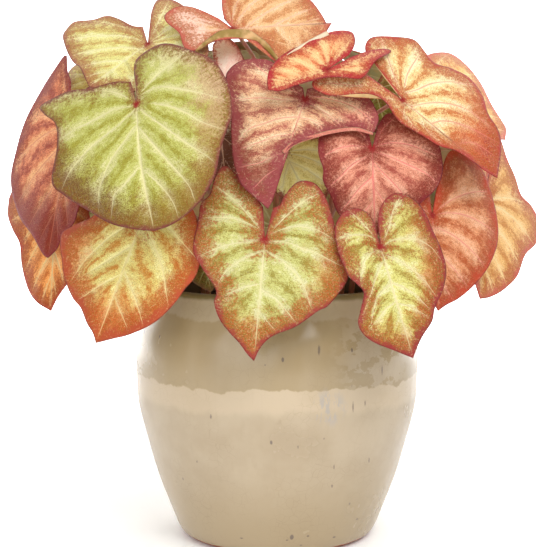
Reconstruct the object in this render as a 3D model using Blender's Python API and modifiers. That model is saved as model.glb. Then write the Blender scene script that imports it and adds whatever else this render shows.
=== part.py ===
"""A caladium in its glazed pot: one turned pot, the soil in it, and leaves, each one piece with its stalk.

The model is in metres, +Z up. The origin is the middle of the pot's flat foot, and -Y is the front. The sizes
below are real sizes in millimetres, which MM turns into metres where the meshes are made.
"""

import math
import random

import bmesh
import bpy
import numpy as np

MM = 0.001

# Pot: radius and height, up the inside from the middle of its floor, over the lip and down the outside
POT_PROFILE = [(0.0, 14.0), (84.0, 14.0), (96.0, 26.0), (111.0, 62.0), (128.5, 131.0), (131.5, 172.0),
               (127.5, 204.0), (118.0, 228.0), (115.5, 241.0), (117.5, 247.5), (121.0, 249.0), (125.0, 247.5),
               (126.5, 241.0), (131.5, 225.0), (138.0, 206.0), (141.0, 184.0), (140.5, 160.0), (138.5, 131.0),
               (130.0, 97.0), (120.0, 62.0), (106.5, 26.0), (101.0, 12.0), (96.0, 4.0), (89.0, 0.0),
               (0.0, 0.0)]
TURN_STEPS = 36
POT_COLOUR = (0.66, 0.58, 0.45)

# Soil: its side follows the first INNER_POINTS of the pot's profile, and its top swells towards the middle
INNER_POINTS = 8
SOIL_TOP = 232.0
SOIL_RADIUS = 116.8
SOIL_SWELL = 4.0
SOIL_GAP = 0.5
SOIL_COLOUR = (0.030, 0.022, 0.016)
CLEARANCE = 0.3
HOLE_FLOOR = 204.0
HOLE_SIDES = 8

# Blade: thickness, spokes from the heart to half of its edge, and how far out the rings of points lie
BLADE = 0.8
SPOKES = 10
BACK_SPOKES = 7
RINGS = (0.42, 0.80, 1.0)
# How far the tip, the lobes and the sides fall away, how far the sides rise, and the edge's waves
TIP_DROOP = 8.0
LOBE_DROOP = 36.0
SIDE_DROOP = 8.0
FOLD = 4.0
WAVE_DEPTH = 2.5
WAVES = 5

# Stalk: radius in the soil and at the heart, and its arch
STALK_RADII = (3.0, 1.9)
STALK_LENGTHS = 7
STALK_RISE = 0.45
STALK_FALL = 0.33

# The eye from which the front leaves' outlines are seen, its pitch, and the sheet on which they are read:
# through the pot's axis, at right angles to the sight, which meets it at SHEET_MIDDLE
EYE = np.array([-9.0, -1250.0, 358.0])
PITCH = math.radians(4.5)
SHEET_DISTANCE = 1250.0
SHEET_MIDDLE = (-9.0, 253.5)

# Every leaf seen from the front: its heart, where the stalk joins, its tip, and its right and left edges from
# the notch to the tip, all as (across, up) on the sheet. depth is the heart's y. turn and rise say which way
# the blade faces, in degrees. root is where the stalk leaves the soil. rise_share and arrive change its arch.
FRONT_LEAVES = [
    dict(name="low_centre", colour=(0.50, 0.47, 0.12), depth=-168, turn=-2, rise=20, root=(-4, -70),
         heart=(-12, 288), tip=(-23, 166),
         right=[(-4, 319), (3, 322), (9, 333), (19, 344), (30, 346), (41, 341), (50, 326), (56, 308),
                (62, 286), (67, 268), (70, 252), (64, 238), (51, 221), (41, 216), (20, 201), (0, 193),
                (-10, 187), (-18, 177)],
         left=[(-14, 320), (-25, 335), (-38, 350), (-52, 361), (-62, 350), (-67, 333), (-76, 323),
               (-79, 306), (-84, 278), (-75, 259), (-61, 237), (-63, 224), (-57, 207), (-48, 195),
               (-38, 184), (-29, 172)]),
    dict(name="broad_green", colour=(0.46, 0.44, 0.13), depth=-128, turn=-32, rise=22, root=(-38, -34),
         heart=(-140, 423), tip=(-123, 296),
         right=[(-140, 446), (-143, 458), (-139, 469), (-121, 481), (-106, 483), (-84, 476), (-63, 466),
                (-49, 443), (-45, 414), (-50, 398), (-57, 376), (-62, 352), (-76, 327), (-92, 311),
                (-108, 301)],
         left=[(-149, 445), (-162, 445), (-185, 439), (-207, 436), (-225, 428), (-237, 420),
               (-232, 412), (-221, 402), (-220, 378), (-225, 345), (-212, 331), (-190, 317),
               (-168, 304), (-145, 298)]),
    dict(name="low_left", colour=(0.55, 0.36, 0.12), depth=-117, turn=-33, rise=20, root=(-52, -48),
         heart=(-133, 312), tip=(-181, 184),
         right=[(-124, 335), (-112, 342), (-95, 336), (-84, 318), (-77, 296), (-75, 275), (-81, 252),
                (-92, 238), (-104, 222), (-122, 205), (-146, 193), (-165, 188)],
         left=[(-141, 328), (-155, 332), (-172, 321), (-188, 308), (-204, 301), (-216, 291),
               (-215, 268), (-212, 248), (-204, 229), (-196, 219), (-190, 204), (-184, 194)]),
    dict(name="low_right", colour=(0.55, 0.36, 0.14), depth=-165, turn=22, rise=18, root=(40, -62),
         heart=(103, 281), tip=(136, 169),
         right=[(101, 306), (103, 319), (111, 330), (122, 334), (136, 328), (147, 316), (155, 298),
                (164, 278), (169, 258), (166, 238), (158, 220), (155, 206), (146, 192), (141, 182)],
         left=[(97, 305), (89, 315), (76, 319), (65, 313), (58, 300), (60, 280), (68, 258), (80, 243),
               (87, 234), (84, 218), (81, 204), (86, 193), (98, 184), (116, 177)]),
    dict(name="centre_rose", colour=(0.48, 0.22, 0.16), depth=-115, turn=4, rise=28, root=(14, -34),
         rise_share=0.72, arrive=(0.05, -1.0, 0.1),
         heart=(28, 428), tip=(-9, 318),
         right=[(33, 439), (48, 441), (68, 438), (90, 431), (101, 412), (100, 401), (94, 393),
                (78, 397), (58, 395), (38, 390), (18, 383), (8, 374), (3, 352), (-4, 328)],
         left=[(23, 440), (10, 450), (-3, 464), (-20, 468), (-38, 465), (-51, 452), (-48, 434),
               (-46, 412), (-46, 392), (-44, 368), (-38, 346), (-26, 333)]),
    dict(name="crown_curled", colour=(0.62, 0.16, 0.09), depth=-138, turn=6, rise=34, root=(28, -16),
         rise_share=0.72, arrive=(0.1, -1.0, -0.05),
         heart=(50, 457), tip=(-9, 437),
         right=[(74, 470), (92, 476), (107, 478), (114, 475), (99, 466), (89, 452), (82, 448),
                (70, 449), (52, 450), (38, 447), (20, 442), (4, 436)],
         left=[(72, 472), (77, 480), (78, 488), (74, 495), (60, 496), (45, 492), (30, 484), (14, 477),
               (2, 469), (-7, 458), (-10, 446)]),
    dict(name="high_right", colour=(0.62, 0.46, 0.14), depth=-108, turn=34, rise=34, root=(46, -22),
         rise_share=0.72, arrive=(0.3, -0.9, 0.1),
         heart=(125, 427), tip=(220, 349),
         right=[(97, 464), (89, 474), (89, 484), (97, 490), (118, 490), (137, 487), (147, 476),
                (157, 464), (175, 458), (192, 449), (205, 432), (211, 413), (221, 397), (224, 380),
                (222, 362)],
         left=[(90, 452), (72, 455), (52, 454), (36, 446), (38, 438), (56, 431), (80, 433), (98, 432),
               (110, 423), (120, 408), (132, 399), (148, 390), (163, 381), (184, 374), (204, 359)]),
    dict(name="mid_rose", colour=(0.50, 0.17, 0.13), depth=-116, turn=14, rise=12, root=(34, -52),
         heart=(95, 379), tip=(98, 292),
         right=[(101, 402), (110, 413), (128, 411), (146, 400), (160, 386), (165, 368), (165, 352),
                (158, 337), (146, 326), (130, 312), (112, 300)],
         left=[(91, 398), (78, 407), (58, 407), (44, 396), (41, 376), (46, 358), (46, 346), (54, 330),
               (62, 312), (78, 299)]),
    dict(name="right_coral", colour=(0.60, 0.30, 0.17), depth=-100, turn=38, rise=14, root=(62, -42),
         heart=(155, 312), tip=(161, 216),
         right=[(159, 335), (164, 354), (172, 375), (186, 375), (203, 360), (213, 337), (220, 308),
                (220, 283), (211, 260), (198, 243), (182, 229), (169, 222)],
         left=[(152, 334), (145, 328), (139, 314), (137, 292), (140, 268), (146, 250), (153, 232)]),
    dict(name="far_right", colour=(0.66, 0.42, 0.15), depth=-8, turn=50, rise=16, root=(74, -10),
         heart=(207, 325), tip=(203, 228),
         right=[(214, 360), (217, 378), (222, 390), (230, 368), (238, 350), (244, 332), (255, 320),
                (262, 303), (259, 284), (248, 272), (240, 251), (226, 237), (213, 230)],
         left=[(212, 361), (203, 368), (192, 352), (187, 328), (186, 300), (190, 272), (197, 247)]),
    dict(name="behind_high_right", colour=(0.66, 0.44, 0.16), depth=-34, turn=55, rise=40, root=(62, 10),
         heart=(160, 432), tip=(228, 387),
         right=[(148, 455), (148, 469), (158, 474), (174, 473), (190, 461), (204, 443), (214, 423),
                (224, 407), (229, 398)],
         left=[(150, 446), (144, 436), (147, 420), (165, 405), (190, 394), (212, 389)]),
    dict(name="left_crimson", colour=(0.46, 0.14, 0.11), depth=-26, turn=-50, rise=12, root=(-58, -8),
         heart=(-207, 400), tip=(-229, 269),
         right=[(-200, 425), (-188, 440), (-174, 432), (-168, 405), (-171, 375), (-182, 345),
                (-197, 322), (-203, 304), (-215, 290), (-220, 278)],
         left=[(-207, 432), (-206, 445), (-210, 458), (-211, 472), (-222, 458), (-237, 434),
               (-252, 405), (-261, 375), (-266, 345), (-258, 312), (-244, 291), (-234, 273)]),
    dict(name="far_left", colour=(0.66, 0.38, 0.14), depth=4, turn=-44, rise=16, root=(-74, 8),
         heart=(-222, 318), tip=(-226, 216),
         right=[(-214, 335), (-202, 337), (-190, 322), (-187, 297), (-195, 268), (-208, 246),
                (-219, 230)],
         left=[(-232, 338), (-246, 346), (-260, 342), (-268, 328), (-269, 312), (-264, 297),
               (-257, 283), (-255, 262), (-249, 239), (-240, 225)]),
    dict(name="high_left", colour=(0.64, 0.54, 0.22), depth=-34, turn=-30, rise=42, root=(-34, -10),
         heart=(-129, 483), tip=(-188, 440),
         right=[(-127, 502), (-125, 516), (-119, 527), (-105, 527), (-90, 518), (-76, 498), (-68, 477),
                (-76, 462), (-95, 448), (-120, 438), (-150, 435), (-172, 437)],
         left=[(-134, 500), (-144, 501), (-158, 508), (-170, 511), (-184, 507), (-202, 505),
               (-210, 498), (-214, 490), (-210, 476), (-204, 465), (-197, 459), (-192, 449)]),
    dict(name="crown_peach", colour=(0.68, 0.42, 0.24), depth=-62, turn=4, rise=46, root=(0, 0),
         rise_share=0.8, arrive=(-0.3, -0.9, 0.3),
         heart=(-44, 498), tip=(55, 504),
         right=[(-53, 508), (-55, 520), (-53, 535), (-38, 544), (-18, 547), (4, 544), (22, 536),
                (36, 524), (46, 510), (50, 503)],
         left=[(-58, 508), (-72, 515), (-86, 520), (-100, 520), (-112, 512), (-110, 504), (-98, 494),
               (-93, 480), (-82, 476), (-64, 485), (-46, 488), (-26, 487), (-10, 476), (2, 463),
               (20, 468), (40, 482)]),
    dict(name="small_blush", colour=(0.66, 0.42, 0.30), depth=-68, turn=-8, rise=18, root=(-16, -26),
         heart=(-60, 428), tip=(-50, 334),
         right=[(-58, 448), (-62, 466), (-64, 482), (-53, 489), (-42, 484), (-34, 470), (-28, 450),
                (-26, 425), (-29, 398), (-36, 366)],
         left=[(-64, 446), (-74, 458), (-88, 454), (-94, 436), (-93, 410), (-85, 382), (-69, 354)]),
    dict(name="inner_green", colour=(0.44, 0.46, 0.20), depth=-84, turn=4, rise=18, root=(4, -16),
         heart=(8, 374), tip=(40, 310),
         right=[(13, 386), (26, 393), (42, 388), (52, 372), (55, 354), (50, 332)],
         left=[(2, 386), (-12, 389), (-24, 380), (-27, 364), (-16, 346), (4, 330), (22, 318)]),
    dict(name="side_pale", colour=(0.60, 0.56, 0.26), depth=10, turn=-42, rise=40, root=(-46, 14),
         heart=(-178, 444), tip=(-204, 411),
         right=[(-174, 454), (-168, 461), (-160, 455), (-160, 440), (-170, 424), (-187, 414)],
         left=[(-183, 455), (-192, 464), (-205, 459), (-212, 445), (-214, 430), (-211, 418)]),
    dict(name="inner_olive", colour=(0.34, 0.34, 0.12), depth=-14, turn=12, rise=14, root=(44, 0),
         heart=(98, 436), tip=(112, 388),
         right=[(101, 446), (108, 455), (121, 456), (131, 442), (132, 422), (124, 402)],
         left=[(94, 448), (84, 455), (73, 450), (69, 434), (76, 416), (92, 398)]),
    dict(name="rim_green", colour=(0.40, 0.44, 0.16), depth=-112, turn=-14, rise=30, root=(-26, -58),
         heart=(-74, 275), tip=(-66, 235),
         right=[(-70, 286), (-60, 288), (-52, 278), (-51, 262), (-57, 247)],
         left=[(-78, 286), (-90, 286), (-99, 273), (-94, 256), (-81, 243)]),
]

# The rest of the dome, round the sides and back, as rings of leaves of one plain heart shape. Each ring: the
# first and last way faced, how many, how far out and how high the hearts are by turns, the rise, the blade's
# length and width, and how far from the axis the stalks leave the soil.
BACK_RINGS = [
    dict(name="back_low", first=138, last=223, count=3, out=(184, 198), up=(300, 301), rise=17, length=128,
         width=150, root=78),
    dict(name="side_low", first=-70, last=-70, count=1, out=(146,), up=(308,), rise=20, length=76, width=96,
         root=72),
    dict(name="back_mid", first=114, last=242, count=4, out=(177, 198), up=(374, 368), rise=24, length=132,
         width=146, root=56),
    dict(name="back_high", first=122, last=238, count=3, out=(92, 84), up=(469, 480), rise=64, length=110,
         width=130, root=32),
]
BACK_COLOURS = [(0.56, 0.38, 0.13), (0.46, 0.44, 0.14), (0.54, 0.22, 0.14), (0.62, 0.46, 0.18)]
BACK_SEED = 6
HEIGHT_SPREAD = 3.0
TURN_SPREAD = 4.0
SWING_SPREAD = 8.0
SIZE_SPREAD = 0.05
# Half of the plain heart shape: across as a share of its half width, down as a share of its length
HEART_SHAPE = [(0.06, -0.22), (0.14, -0.35), (0.34, -0.43), (0.62, -0.40), (0.86, -0.24), (1.0, 0.02),
               (0.98, 0.26), (0.83, 0.50), (0.55, 0.72), (0.24, 0.88)]


def clear_scene():
    for obj in list(bpy.data.objects):
        bpy.data.objects.remove(obj, do_unlink=True)


def material(name, colour, roughness):
    made = bpy.data.materials.new(name)
    made.use_nodes = True
    shader = made.node_tree.nodes["Principled BSDF"]
    shader.inputs["Base Color"].default_value = (*colour, 1.0)
    shader.inputs["Roughness"].default_value = roughness
    shader.inputs["Metallic"].default_value = 0.0
    return made


def as_mesh(obj, name):
    """The object's evaluated shape as a plain, welded mesh object, in place of the object."""
    bpy.context.scene.collection.objects.link(obj)
    bpy.context.view_layer.update()
    graph = bpy.context.evaluated_depsgraph_get()
    data = bpy.data.meshes.new_from_object(obj.evaluated_get(graph))
    bpy.data.objects.remove(obj, do_unlink=True)
    data.name = name
    welded = bmesh.new()
    welded.from_mesh(data)
    bmesh.ops.remove_doubles(welded, verts=welded.verts, dist=0.00001)
    bmesh.ops.recalc_face_normals(welded, faces=welded.faces)
    welded.to_mesh(data)
    welded.free()
    return bpy.data.objects.new(name, data)


def apply_boolean(obj, other, operation, solver):
    """Applies one Boolean to the object and removes the other one."""
    bpy.context.scene.collection.objects.link(other)
    modifier = obj.modifiers.new(operation.lower(), "BOOLEAN")
    modifier.operation = operation
    modifier.solver = solver
    modifier.object = other
    bpy.context.view_layer.update()
    graph = bpy.context.evaluated_depsgraph_get()
    data = bpy.data.meshes.new_from_object(obj.evaluated_get(graph))
    obj.modifiers.clear()
    obj.data = data
    bpy.data.objects.remove(other, do_unlink=True)


def unit(vector):
    vector = np.asarray(vector, float)
    return vector / np.linalg.norm(vector)


def facing(turn, rise):
    """The way a blade faces: turned from the front towards +X, then raised, in degrees."""
    turn, rise = math.radians(turn), math.radians(rise)
    return np.array([math.sin(turn) * math.cos(rise), -math.cos(turn) * math.cos(rise), math.sin(rise)])


def sight_ray(across, up):
    """From the eye to a point of the sheet."""
    forward = np.array([0.0, math.cos(PITCH), -math.sin(PITCH)])
    upward = np.array([0.0, math.sin(PITCH), math.cos(PITCH)])
    sideways = np.array([1.0, 0.0, 0.0])
    across, up = across - SHEET_MIDDLE[0], up - SHEET_MIDDLE[1]
    return SHEET_DISTANCE * forward + across * sideways + up * upward


def at_depth(point, depth):
    """Where the line of sight through a point of the sheet is this far back."""
    ray = sight_ray(*point)
    return EYE + ray * (depth - EYE[1]) / ray[1]


def on_plane(point, through, normal):
    """Where the line of sight through a point of the sheet meets a plane."""
    ray = sight_ray(*point)
    return EYE + ray * np.dot(through - EYE, normal) / np.dot(ray, normal)


def smooth_line(points, count, samples=12):
    """count + 1 points at even steps along a smooth curve through the given ones."""
    given = np.array(points, float)
    given = np.vstack([2 * given[0] - given[1], given, 2 * given[-1] - given[-2]])
    curve = []
    for i in range(1, len(given) - 2):
        a, b, c, d = given[i - 1:i + 3]
        for t in np.linspace(0, 1, samples, endpoint=False):
            curve.append(0.5 * (2 * b + (c - a) * t + (2 * a - 5 * b + 4 * c - d) * t ** 2
                                + (3 * b - a - 3 * c + d) * t ** 3))
    curve = np.array(curve + [given[-2]])
    along = np.concatenate([[0], np.cumsum(np.linalg.norm(np.diff(curve, axis=0), axis=1))])
    steps = np.linspace(0, along[-1], count + 1)
    return np.stack([np.interp(steps, along, curve[:, axis]) for axis in range(given.shape[1])], 1)


def front_leaf(entry):
    """The leaf's place and its flat outline, worked out from what is seen of it."""
    normal = facing(entry["turn"], entry["rise"])
    heart = at_depth(entry["heart"], entry["depth"])
    along = unit(on_plane(entry["tip"], heart, normal) - heart)
    across = np.cross(normal, along)
    flat = {}
    for side in ("right", "left"):
        seen = [on_plane(point, heart, normal) - heart for point in entry[side] + [entry["tip"]]]
        flat[side] = [(np.dot(point, across), np.dot(point, along)) for point in seen]
    return dict(entry, normal=normal, heart=heart, along=along, across=across, seen=True, **flat)


def back_leaf(ring, number, draw):
    """One leaf of a ring, with small seeded differences from its neighbours."""
    turn = ring["first"] + (ring["last"] - ring["first"]) * number / max(ring["count"] - 1, 1)
    way = facing(turn, 0)
    out = ring["out"][number % len(ring["out"])]
    up = ring["up"][number % len(ring["up"])] + draw.uniform(-HEIGHT_SPREAD, HEIGHT_SPREAD)
    size = 1 + draw.uniform(-SIZE_SPREAD, SIZE_SPREAD)
    normal = facing(turn + draw.uniform(-TURN_SPREAD, TURN_SPREAD), ring["rise"])
    down = unit(np.array([0.0, 0.0, -1.0]) + normal * normal[2])
    swing = math.radians(draw.uniform(-SWING_SPREAD, SWING_SPREAD))
    along = unit(down + np.cross(normal, down) * math.tan(swing))
    half = [(u * ring["width"] / 2 * size, v * ring["length"] * size) for u, v in HEART_SHAPE]
    tip = [(0.0, ring["length"] * size)]
    return dict(name=f"{ring['name']}_{number + 1}", colour=draw.choice(BACK_COLOURS), normal=normal,
                heart=way * out + np.array([0.0, 0.0, up]), along=along, across=np.cross(normal, along),
                root=tuple(way[:2] * ring["root"]), right=half + tip, left=[(-u, v) for u, v in half] + tip,
                seen=False)


def all_leaves():
    draw = random.Random(BACK_SEED)
    behind = [back_leaf(ring, number, draw) for ring in BACK_RINGS for number in range(ring["count"])]
    return [front_leaf(entry) for entry in FRONT_LEAVES] + behind


def bend(leaf, u, v):
    """How far the blade stands out of its flat plane: tip, lobes and sides fall away from the heart."""
    length = leaf["right"][-1][1]
    half = max(abs(point[0]) for point in leaf["right"] + leaf["left"])
    towards_tip = np.maximum(v / length, 0)
    towards_lobes = np.maximum(-v / length, 0)
    side = np.abs(u) / half
    fall = TIP_DROOP * towards_tip ** 2 + LOBE_DROOP * towards_lobes ** 2 + SIDE_DROOP * side ** 2
    return FOLD * side ** 0.8 - fall


def in_space(leaf, u, v, out):
    """Points of the blade. A leaf seen from the front bends along the sight, to keep its outline as seen."""
    point = leaf["heart"] + u[..., None] * leaf["across"] + v[..., None] * leaf["along"]
    if not leaf["seen"]:
        return point + leaf["normal"] * out[..., None]
    sight = EYE - point
    return point + sight / np.linalg.norm(sight, axis=-1, keepdims=True) * out[..., None]


def blade_points(leaf):
    """The heart, and rings of points on spokes from the heart to the edge."""
    spokes = SPOKES if leaf["seen"] else BACK_SPOKES
    right = smooth_line(leaf["right"], spokes)
    left = smooth_line(leaf["left"], spokes)
    edge = np.vstack([right, left[-2::-1]])
    share = np.array(RINGS)[:, None]
    u, v = edge[None, :, 0] * share, edge[None, :, 1] * share
    turn = np.linspace(-1, 1, len(edge))[None, :]
    ripple = WAVE_DEPTH * share ** 3 * np.sin(WAVES * math.pi * turn)
    zero = np.zeros(1)
    heart = in_space(leaf, zero, zero, bend(leaf, zero, zero))[0]
    return heart, in_space(leaf, u, v, bend(leaf, u, v) + ripple)


def blade_object(leaf, name):
    """The blade as an open sheet of triangles, thickened alike on both faces."""
    heart, rings = blade_points(leaf)
    sheet = bmesh.new()
    centre = sheet.verts.new(heart * MM)
    grid = [[sheet.verts.new(point * MM) for point in ring] for ring in rings]
    for k in range(len(grid[0]) - 1):
        sheet.faces.new((centre, grid[0][k + 1], grid[0][k]))
        for inner, outer in zip(grid[:-1], grid[1:]):
            sheet.faces.new((inner[k], inner[k + 1], outer[k + 1]))
            sheet.faces.new((inner[k], outer[k + 1], outer[k]))
    data = bpy.data.meshes.new(name)
    sheet.to_mesh(data)
    sheet.free()
    obj = bpy.data.objects.new(name, data)
    thickness = obj.modifiers.new("thickness", "SOLIDIFY")
    thickness.thickness = BLADE * MM
    thickness.offset = 0.0
    return obj


def stalk_points(leaf):
    """The stalk's line: straight up out of its hole, over in one arch, and into the heart from behind."""
    root = np.array([*leaf["root"], HOLE_FLOOR + CLEARANCE])
    above = np.array([*leaf["root"], SOIL_TOP + 2 * SOIL_SWELL])
    heart = blade_points(leaf)[0]
    reach = np.linalg.norm(heart - above)
    arrive = unit(leaf.get("arrive", 3 * leaf["normal"] + np.array([0.0, 0.0, 1.0])))
    rise = above + np.array([0.0, 0.0, reach * leaf.get("rise_share", STALK_RISE)])
    fall = heart - arrive * reach * STALK_FALL
    points = [root]
    for t in np.linspace(0, 1, STALK_LENGTHS):
        points.append((1 - t) ** 3 * above + 3 * (1 - t) ** 2 * t * rise + 3 * (1 - t) * t ** 2 * fall
                      + t ** 3 * (heart + arrive))
    return points


def stalk_object(leaf, name):
    """A tapering six-sided tube along the stalk's line."""
    points = stalk_points(leaf)
    curve = bpy.data.curves.new(name, "CURVE")
    curve.dimensions = "3D"
    curve.bevel_depth = MM
    curve.bevel_resolution = 1
    curve.use_fill_caps = True
    spline = curve.splines.new("POLY")
    spline.points.add(len(points) - 1)
    for i, place in enumerate(points):
        spline.points[i].co = (*(place * MM), 1.0)
        spline.points[i].radius = STALK_RADII[0] + (STALK_RADII[1] - STALK_RADII[0]) * i / (len(points) - 1)
    return as_mesh(bpy.data.objects.new(name, curve), name)


def make_leaf(leaf, parts):
    """Blade and stalk in one body. The waved blade needs the manifold solver."""
    name = "leaf_" + leaf["name"]
    obj = as_mesh(blade_object(leaf, name), name)
    parts.objects.link(obj)
    apply_boolean(obj, stalk_object(leaf, name + "_stalk"), "UNION", "MANIFOLD")
    obj.data.materials.clear()
    obj.data.materials.append(material(name, leaf["colour"], 0.5))
    obj.data.shade_smooth()
    obj.data.set_sharp_from_angle(angle=math.radians(40))


def turned(name, profile, parts):
    """A solid turned round the Z axis from points given as radius and height."""
    data = bpy.data.meshes.new(name)
    points = [(radius * MM, 0.0, height * MM) for radius, height in profile]
    data.from_pydata(points, [(i, i + 1) for i in range(len(points) - 1)], [])
    obj = bpy.data.objects.new(name, data)
    turn = obj.modifiers.new("turn", "SCREW")
    turn.steps = TURN_STEPS
    turn.render_steps = TURN_STEPS
    turn.use_merge_vertices = True
    turn.merge_threshold = 0.0001
    parts.objects.link(obj)
    return obj


def make_pot(parts):
    obj = turned("pot", POT_PROFILE, parts)
    obj.data.materials.append(material("pot", POT_COLOUR, 0.2))


def soil_profile():
    """From the middle of the top out to the wall, down beside the pot's wall and in along its floor."""
    wall = [point for point in POT_PROFILE[1:INNER_POINTS] if point[1] < SOIL_TOP]
    side = [(radius - SOIL_GAP, height + CLEARANCE) for radius, height in reversed(wall)]
    top = [(0.0, SOIL_TOP + SOIL_SWELL), (0.35 * SOIL_RADIUS, SOIL_TOP + 0.85 * SOIL_SWELL),
           (0.72 * SOIL_RADIUS, SOIL_TOP + 0.35 * SOIL_SWELL), (SOIL_RADIUS - CLEARANCE, SOIL_TOP)]
    return top + side + [(0.0, side[-1][1])]


def make_soil(parts, leaves):
    """The soil, with a plain blind hole for each stalk."""
    obj = turned("soil", soil_profile(), parts)
    drills = bmesh.new()
    top = SOIL_TOP + 2 * SOIL_SWELL
    radius = (STALK_RADII[0] + CLEARANCE) / math.cos(math.pi / HOLE_SIDES)
    for leaf in leaves:
        drill = bmesh.ops.create_cone(drills, cap_ends=True, segments=HOLE_SIDES, radius1=radius * MM,
                                      radius2=radius * MM, depth=(top - HOLE_FLOOR) * MM)
        middle = (leaf["root"][0] * MM, leaf["root"][1] * MM, (top + HOLE_FLOOR) / 2 * MM)
        bmesh.ops.translate(drills, verts=drill["verts"], vec=middle)
    data = bpy.data.meshes.new("stalk_holes")
    drills.to_mesh(data)
    drills.free()
    apply_boolean(obj, bpy.data.objects.new("stalk_holes", data), "DIFFERENCE", "EXACT")
    obj.data.materials.clear()
    obj.data.materials.append(material("soil", SOIL_COLOUR, 0.95))


def main():
    clear_scene()
    parts = bpy.data.collections.new("potted_caladium")
    bpy.context.scene.collection.children.link(parts)
    leaves = all_leaves()
    make_pot(parts)
    make_soil(parts, leaves)
    for leaf in leaves:
        make_leaf(leaf, parts)


main()
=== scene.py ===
"""A caladium in a glazed pot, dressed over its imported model. Metres, +Z up, the front is -Y."""

import math
import random

import bmesh
import bpy
import numpy as np
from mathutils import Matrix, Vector


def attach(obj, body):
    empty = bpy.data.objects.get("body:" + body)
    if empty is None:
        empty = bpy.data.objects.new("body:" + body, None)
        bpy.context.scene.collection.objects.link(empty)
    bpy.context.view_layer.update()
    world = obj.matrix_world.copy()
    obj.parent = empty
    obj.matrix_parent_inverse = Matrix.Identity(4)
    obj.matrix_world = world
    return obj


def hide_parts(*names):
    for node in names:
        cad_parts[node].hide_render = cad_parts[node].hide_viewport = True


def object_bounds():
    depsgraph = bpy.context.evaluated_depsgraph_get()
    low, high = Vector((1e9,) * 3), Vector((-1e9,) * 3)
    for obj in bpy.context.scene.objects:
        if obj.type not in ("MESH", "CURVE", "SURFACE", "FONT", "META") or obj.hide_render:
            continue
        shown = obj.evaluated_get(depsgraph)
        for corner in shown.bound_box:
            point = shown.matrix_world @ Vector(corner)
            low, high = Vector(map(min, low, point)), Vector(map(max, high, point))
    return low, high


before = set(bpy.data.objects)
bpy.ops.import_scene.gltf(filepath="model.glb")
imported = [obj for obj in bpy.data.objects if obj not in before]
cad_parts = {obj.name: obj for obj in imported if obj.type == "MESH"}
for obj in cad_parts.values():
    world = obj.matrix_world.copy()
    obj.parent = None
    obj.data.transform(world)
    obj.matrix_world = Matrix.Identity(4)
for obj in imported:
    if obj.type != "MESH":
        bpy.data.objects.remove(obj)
cad_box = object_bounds()
MM = 0.001

# The pot
# A stoneware pot, thrown on a wheel: rolled lip, sloping shoulder, full belly and a narrow flat foot. It is
# dipped in a cream glaze that has crazed all over, broken to brown where it is thin on the lip, with the
# bare clay showing round the foot.
POT_INSIDE = [(0, 14), (84, 14), (96, 26), (111, 62), (128.5, 131), (131.5, 172), (127.5, 204), (118, 228),
              (115.5, 241), (117.5, 247.5), (121, 249)]
POT_OUTSIDE = [(121, 249), (125, 247.5), (126.5, 241), (131.5, 225), (138, 206), (141, 184), (140.5, 160),
               (138.5, 131), (130, 97), (120, 62), (106.5, 26), (101, 12), (96, 4), (89, 0)]
POT_STEPS = 180


def smooth_line(points, count, samples=12):
    """count + 1 points at even steps along a smooth curve through the given ones."""
    given = np.array(points, float)
    given = np.vstack([2 * given[0] - given[1], given, 2 * given[-1] - given[-2]])
    curve = []
    for i in range(1, len(given) - 2):
        a, b, c, d = given[i - 1:i + 3]
        for t in np.linspace(0, 1, samples, endpoint=False):
            curve.append(0.5 * (2 * b + (c - a) * t + (2 * a - 5 * b + 4 * c - d) * t ** 2
                                + (3 * b - a - 3 * c + d) * t ** 3))
    curve = np.array(curve + [given[-2]])
    along = np.concatenate([[0], np.cumsum(np.linalg.norm(np.diff(curve, axis=0), axis=1))])
    steps = np.linspace(0, along[-1], count + 1)
    return np.stack([np.interp(steps, along, curve[:, axis]) for axis in range(given.shape[1])], 1)


def turned_mesh(name, profile, steps):
    """A closed solid turned round the Z axis from points given as radius and height in millimetres."""
    body = bmesh.new()
    rings = []
    for radius, height in profile:
        turns = [2 * math.pi * i / steps for i in range(steps)] if radius > 0 else [0.0]
        rings.append([body.verts.new((radius * MM * math.cos(a), radius * MM * math.sin(a), height * MM))
                      for a in turns])
    for lower, upper in zip(rings[:-1], rings[1:]):
        for i in range(steps):
            j = (i + 1) % steps
            corners = [lower[i % len(lower)], lower[j % len(lower)], upper[j % len(upper)],
                       upper[i % len(upper)]]
            body.faces.new(list(dict.fromkeys(corners)))
    bmesh.ops.recalc_face_normals(body, faces=body.faces)
    return finished_mesh(name, body)


def finished_mesh(name, body):
    data = bpy.data.meshes.new(name)
    body.to_mesh(data)
    body.free()
    data.shade_smooth()
    return data


def add_piece(name, data):
    piece = bpy.data.objects.new(name, data)
    bpy.context.scene.collection.objects.link(piece)
    return piece


# Colours are given as a paint chart gives them, from 0 to 255
CREAM = (186, 168, 141)
BEIGE = (175, 156, 128)
STREAK_TAN = (172, 154, 126)
LEAF_SHADE_TAN = (160, 138, 98)
BAND_PALE = (220, 198, 166)
FOOT_DARKENING = (170, 150, 117)
CRAZE_BROWN = (120, 98, 70)
PIT_GREY = (98, 84, 82)
BLUE_GREY = (160, 158, 160)
LIP_BROWN = (120, 104, 62)
INNER_WALL_SHADE = (74, 58, 40)
BARE_CLAY = (150, 84, 54)
# Painted shade and reflection of the leaves darken the upper half: a tan band runs from a torn edge up to
# the shoulder
LEAF_SHADE_EDGE = 0.163
SHOULDER_LINE = 0.224
LIP_LINE = 0.2435
CLAY_LINE = 0.0065
# What shows from the front is placed on a sheet, an upright plane through the pot's axis at right angles to
# the sight, and carried along the sight from there: millimetres to the right of the axis and up
EYE = np.array([-9.0, -1250.0, 358.0])
PITCH = math.radians(4.5)
SHEET_DISTANCE = 1250.0
SHEET_MIDDLE = (-9.0, 253.5)
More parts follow.
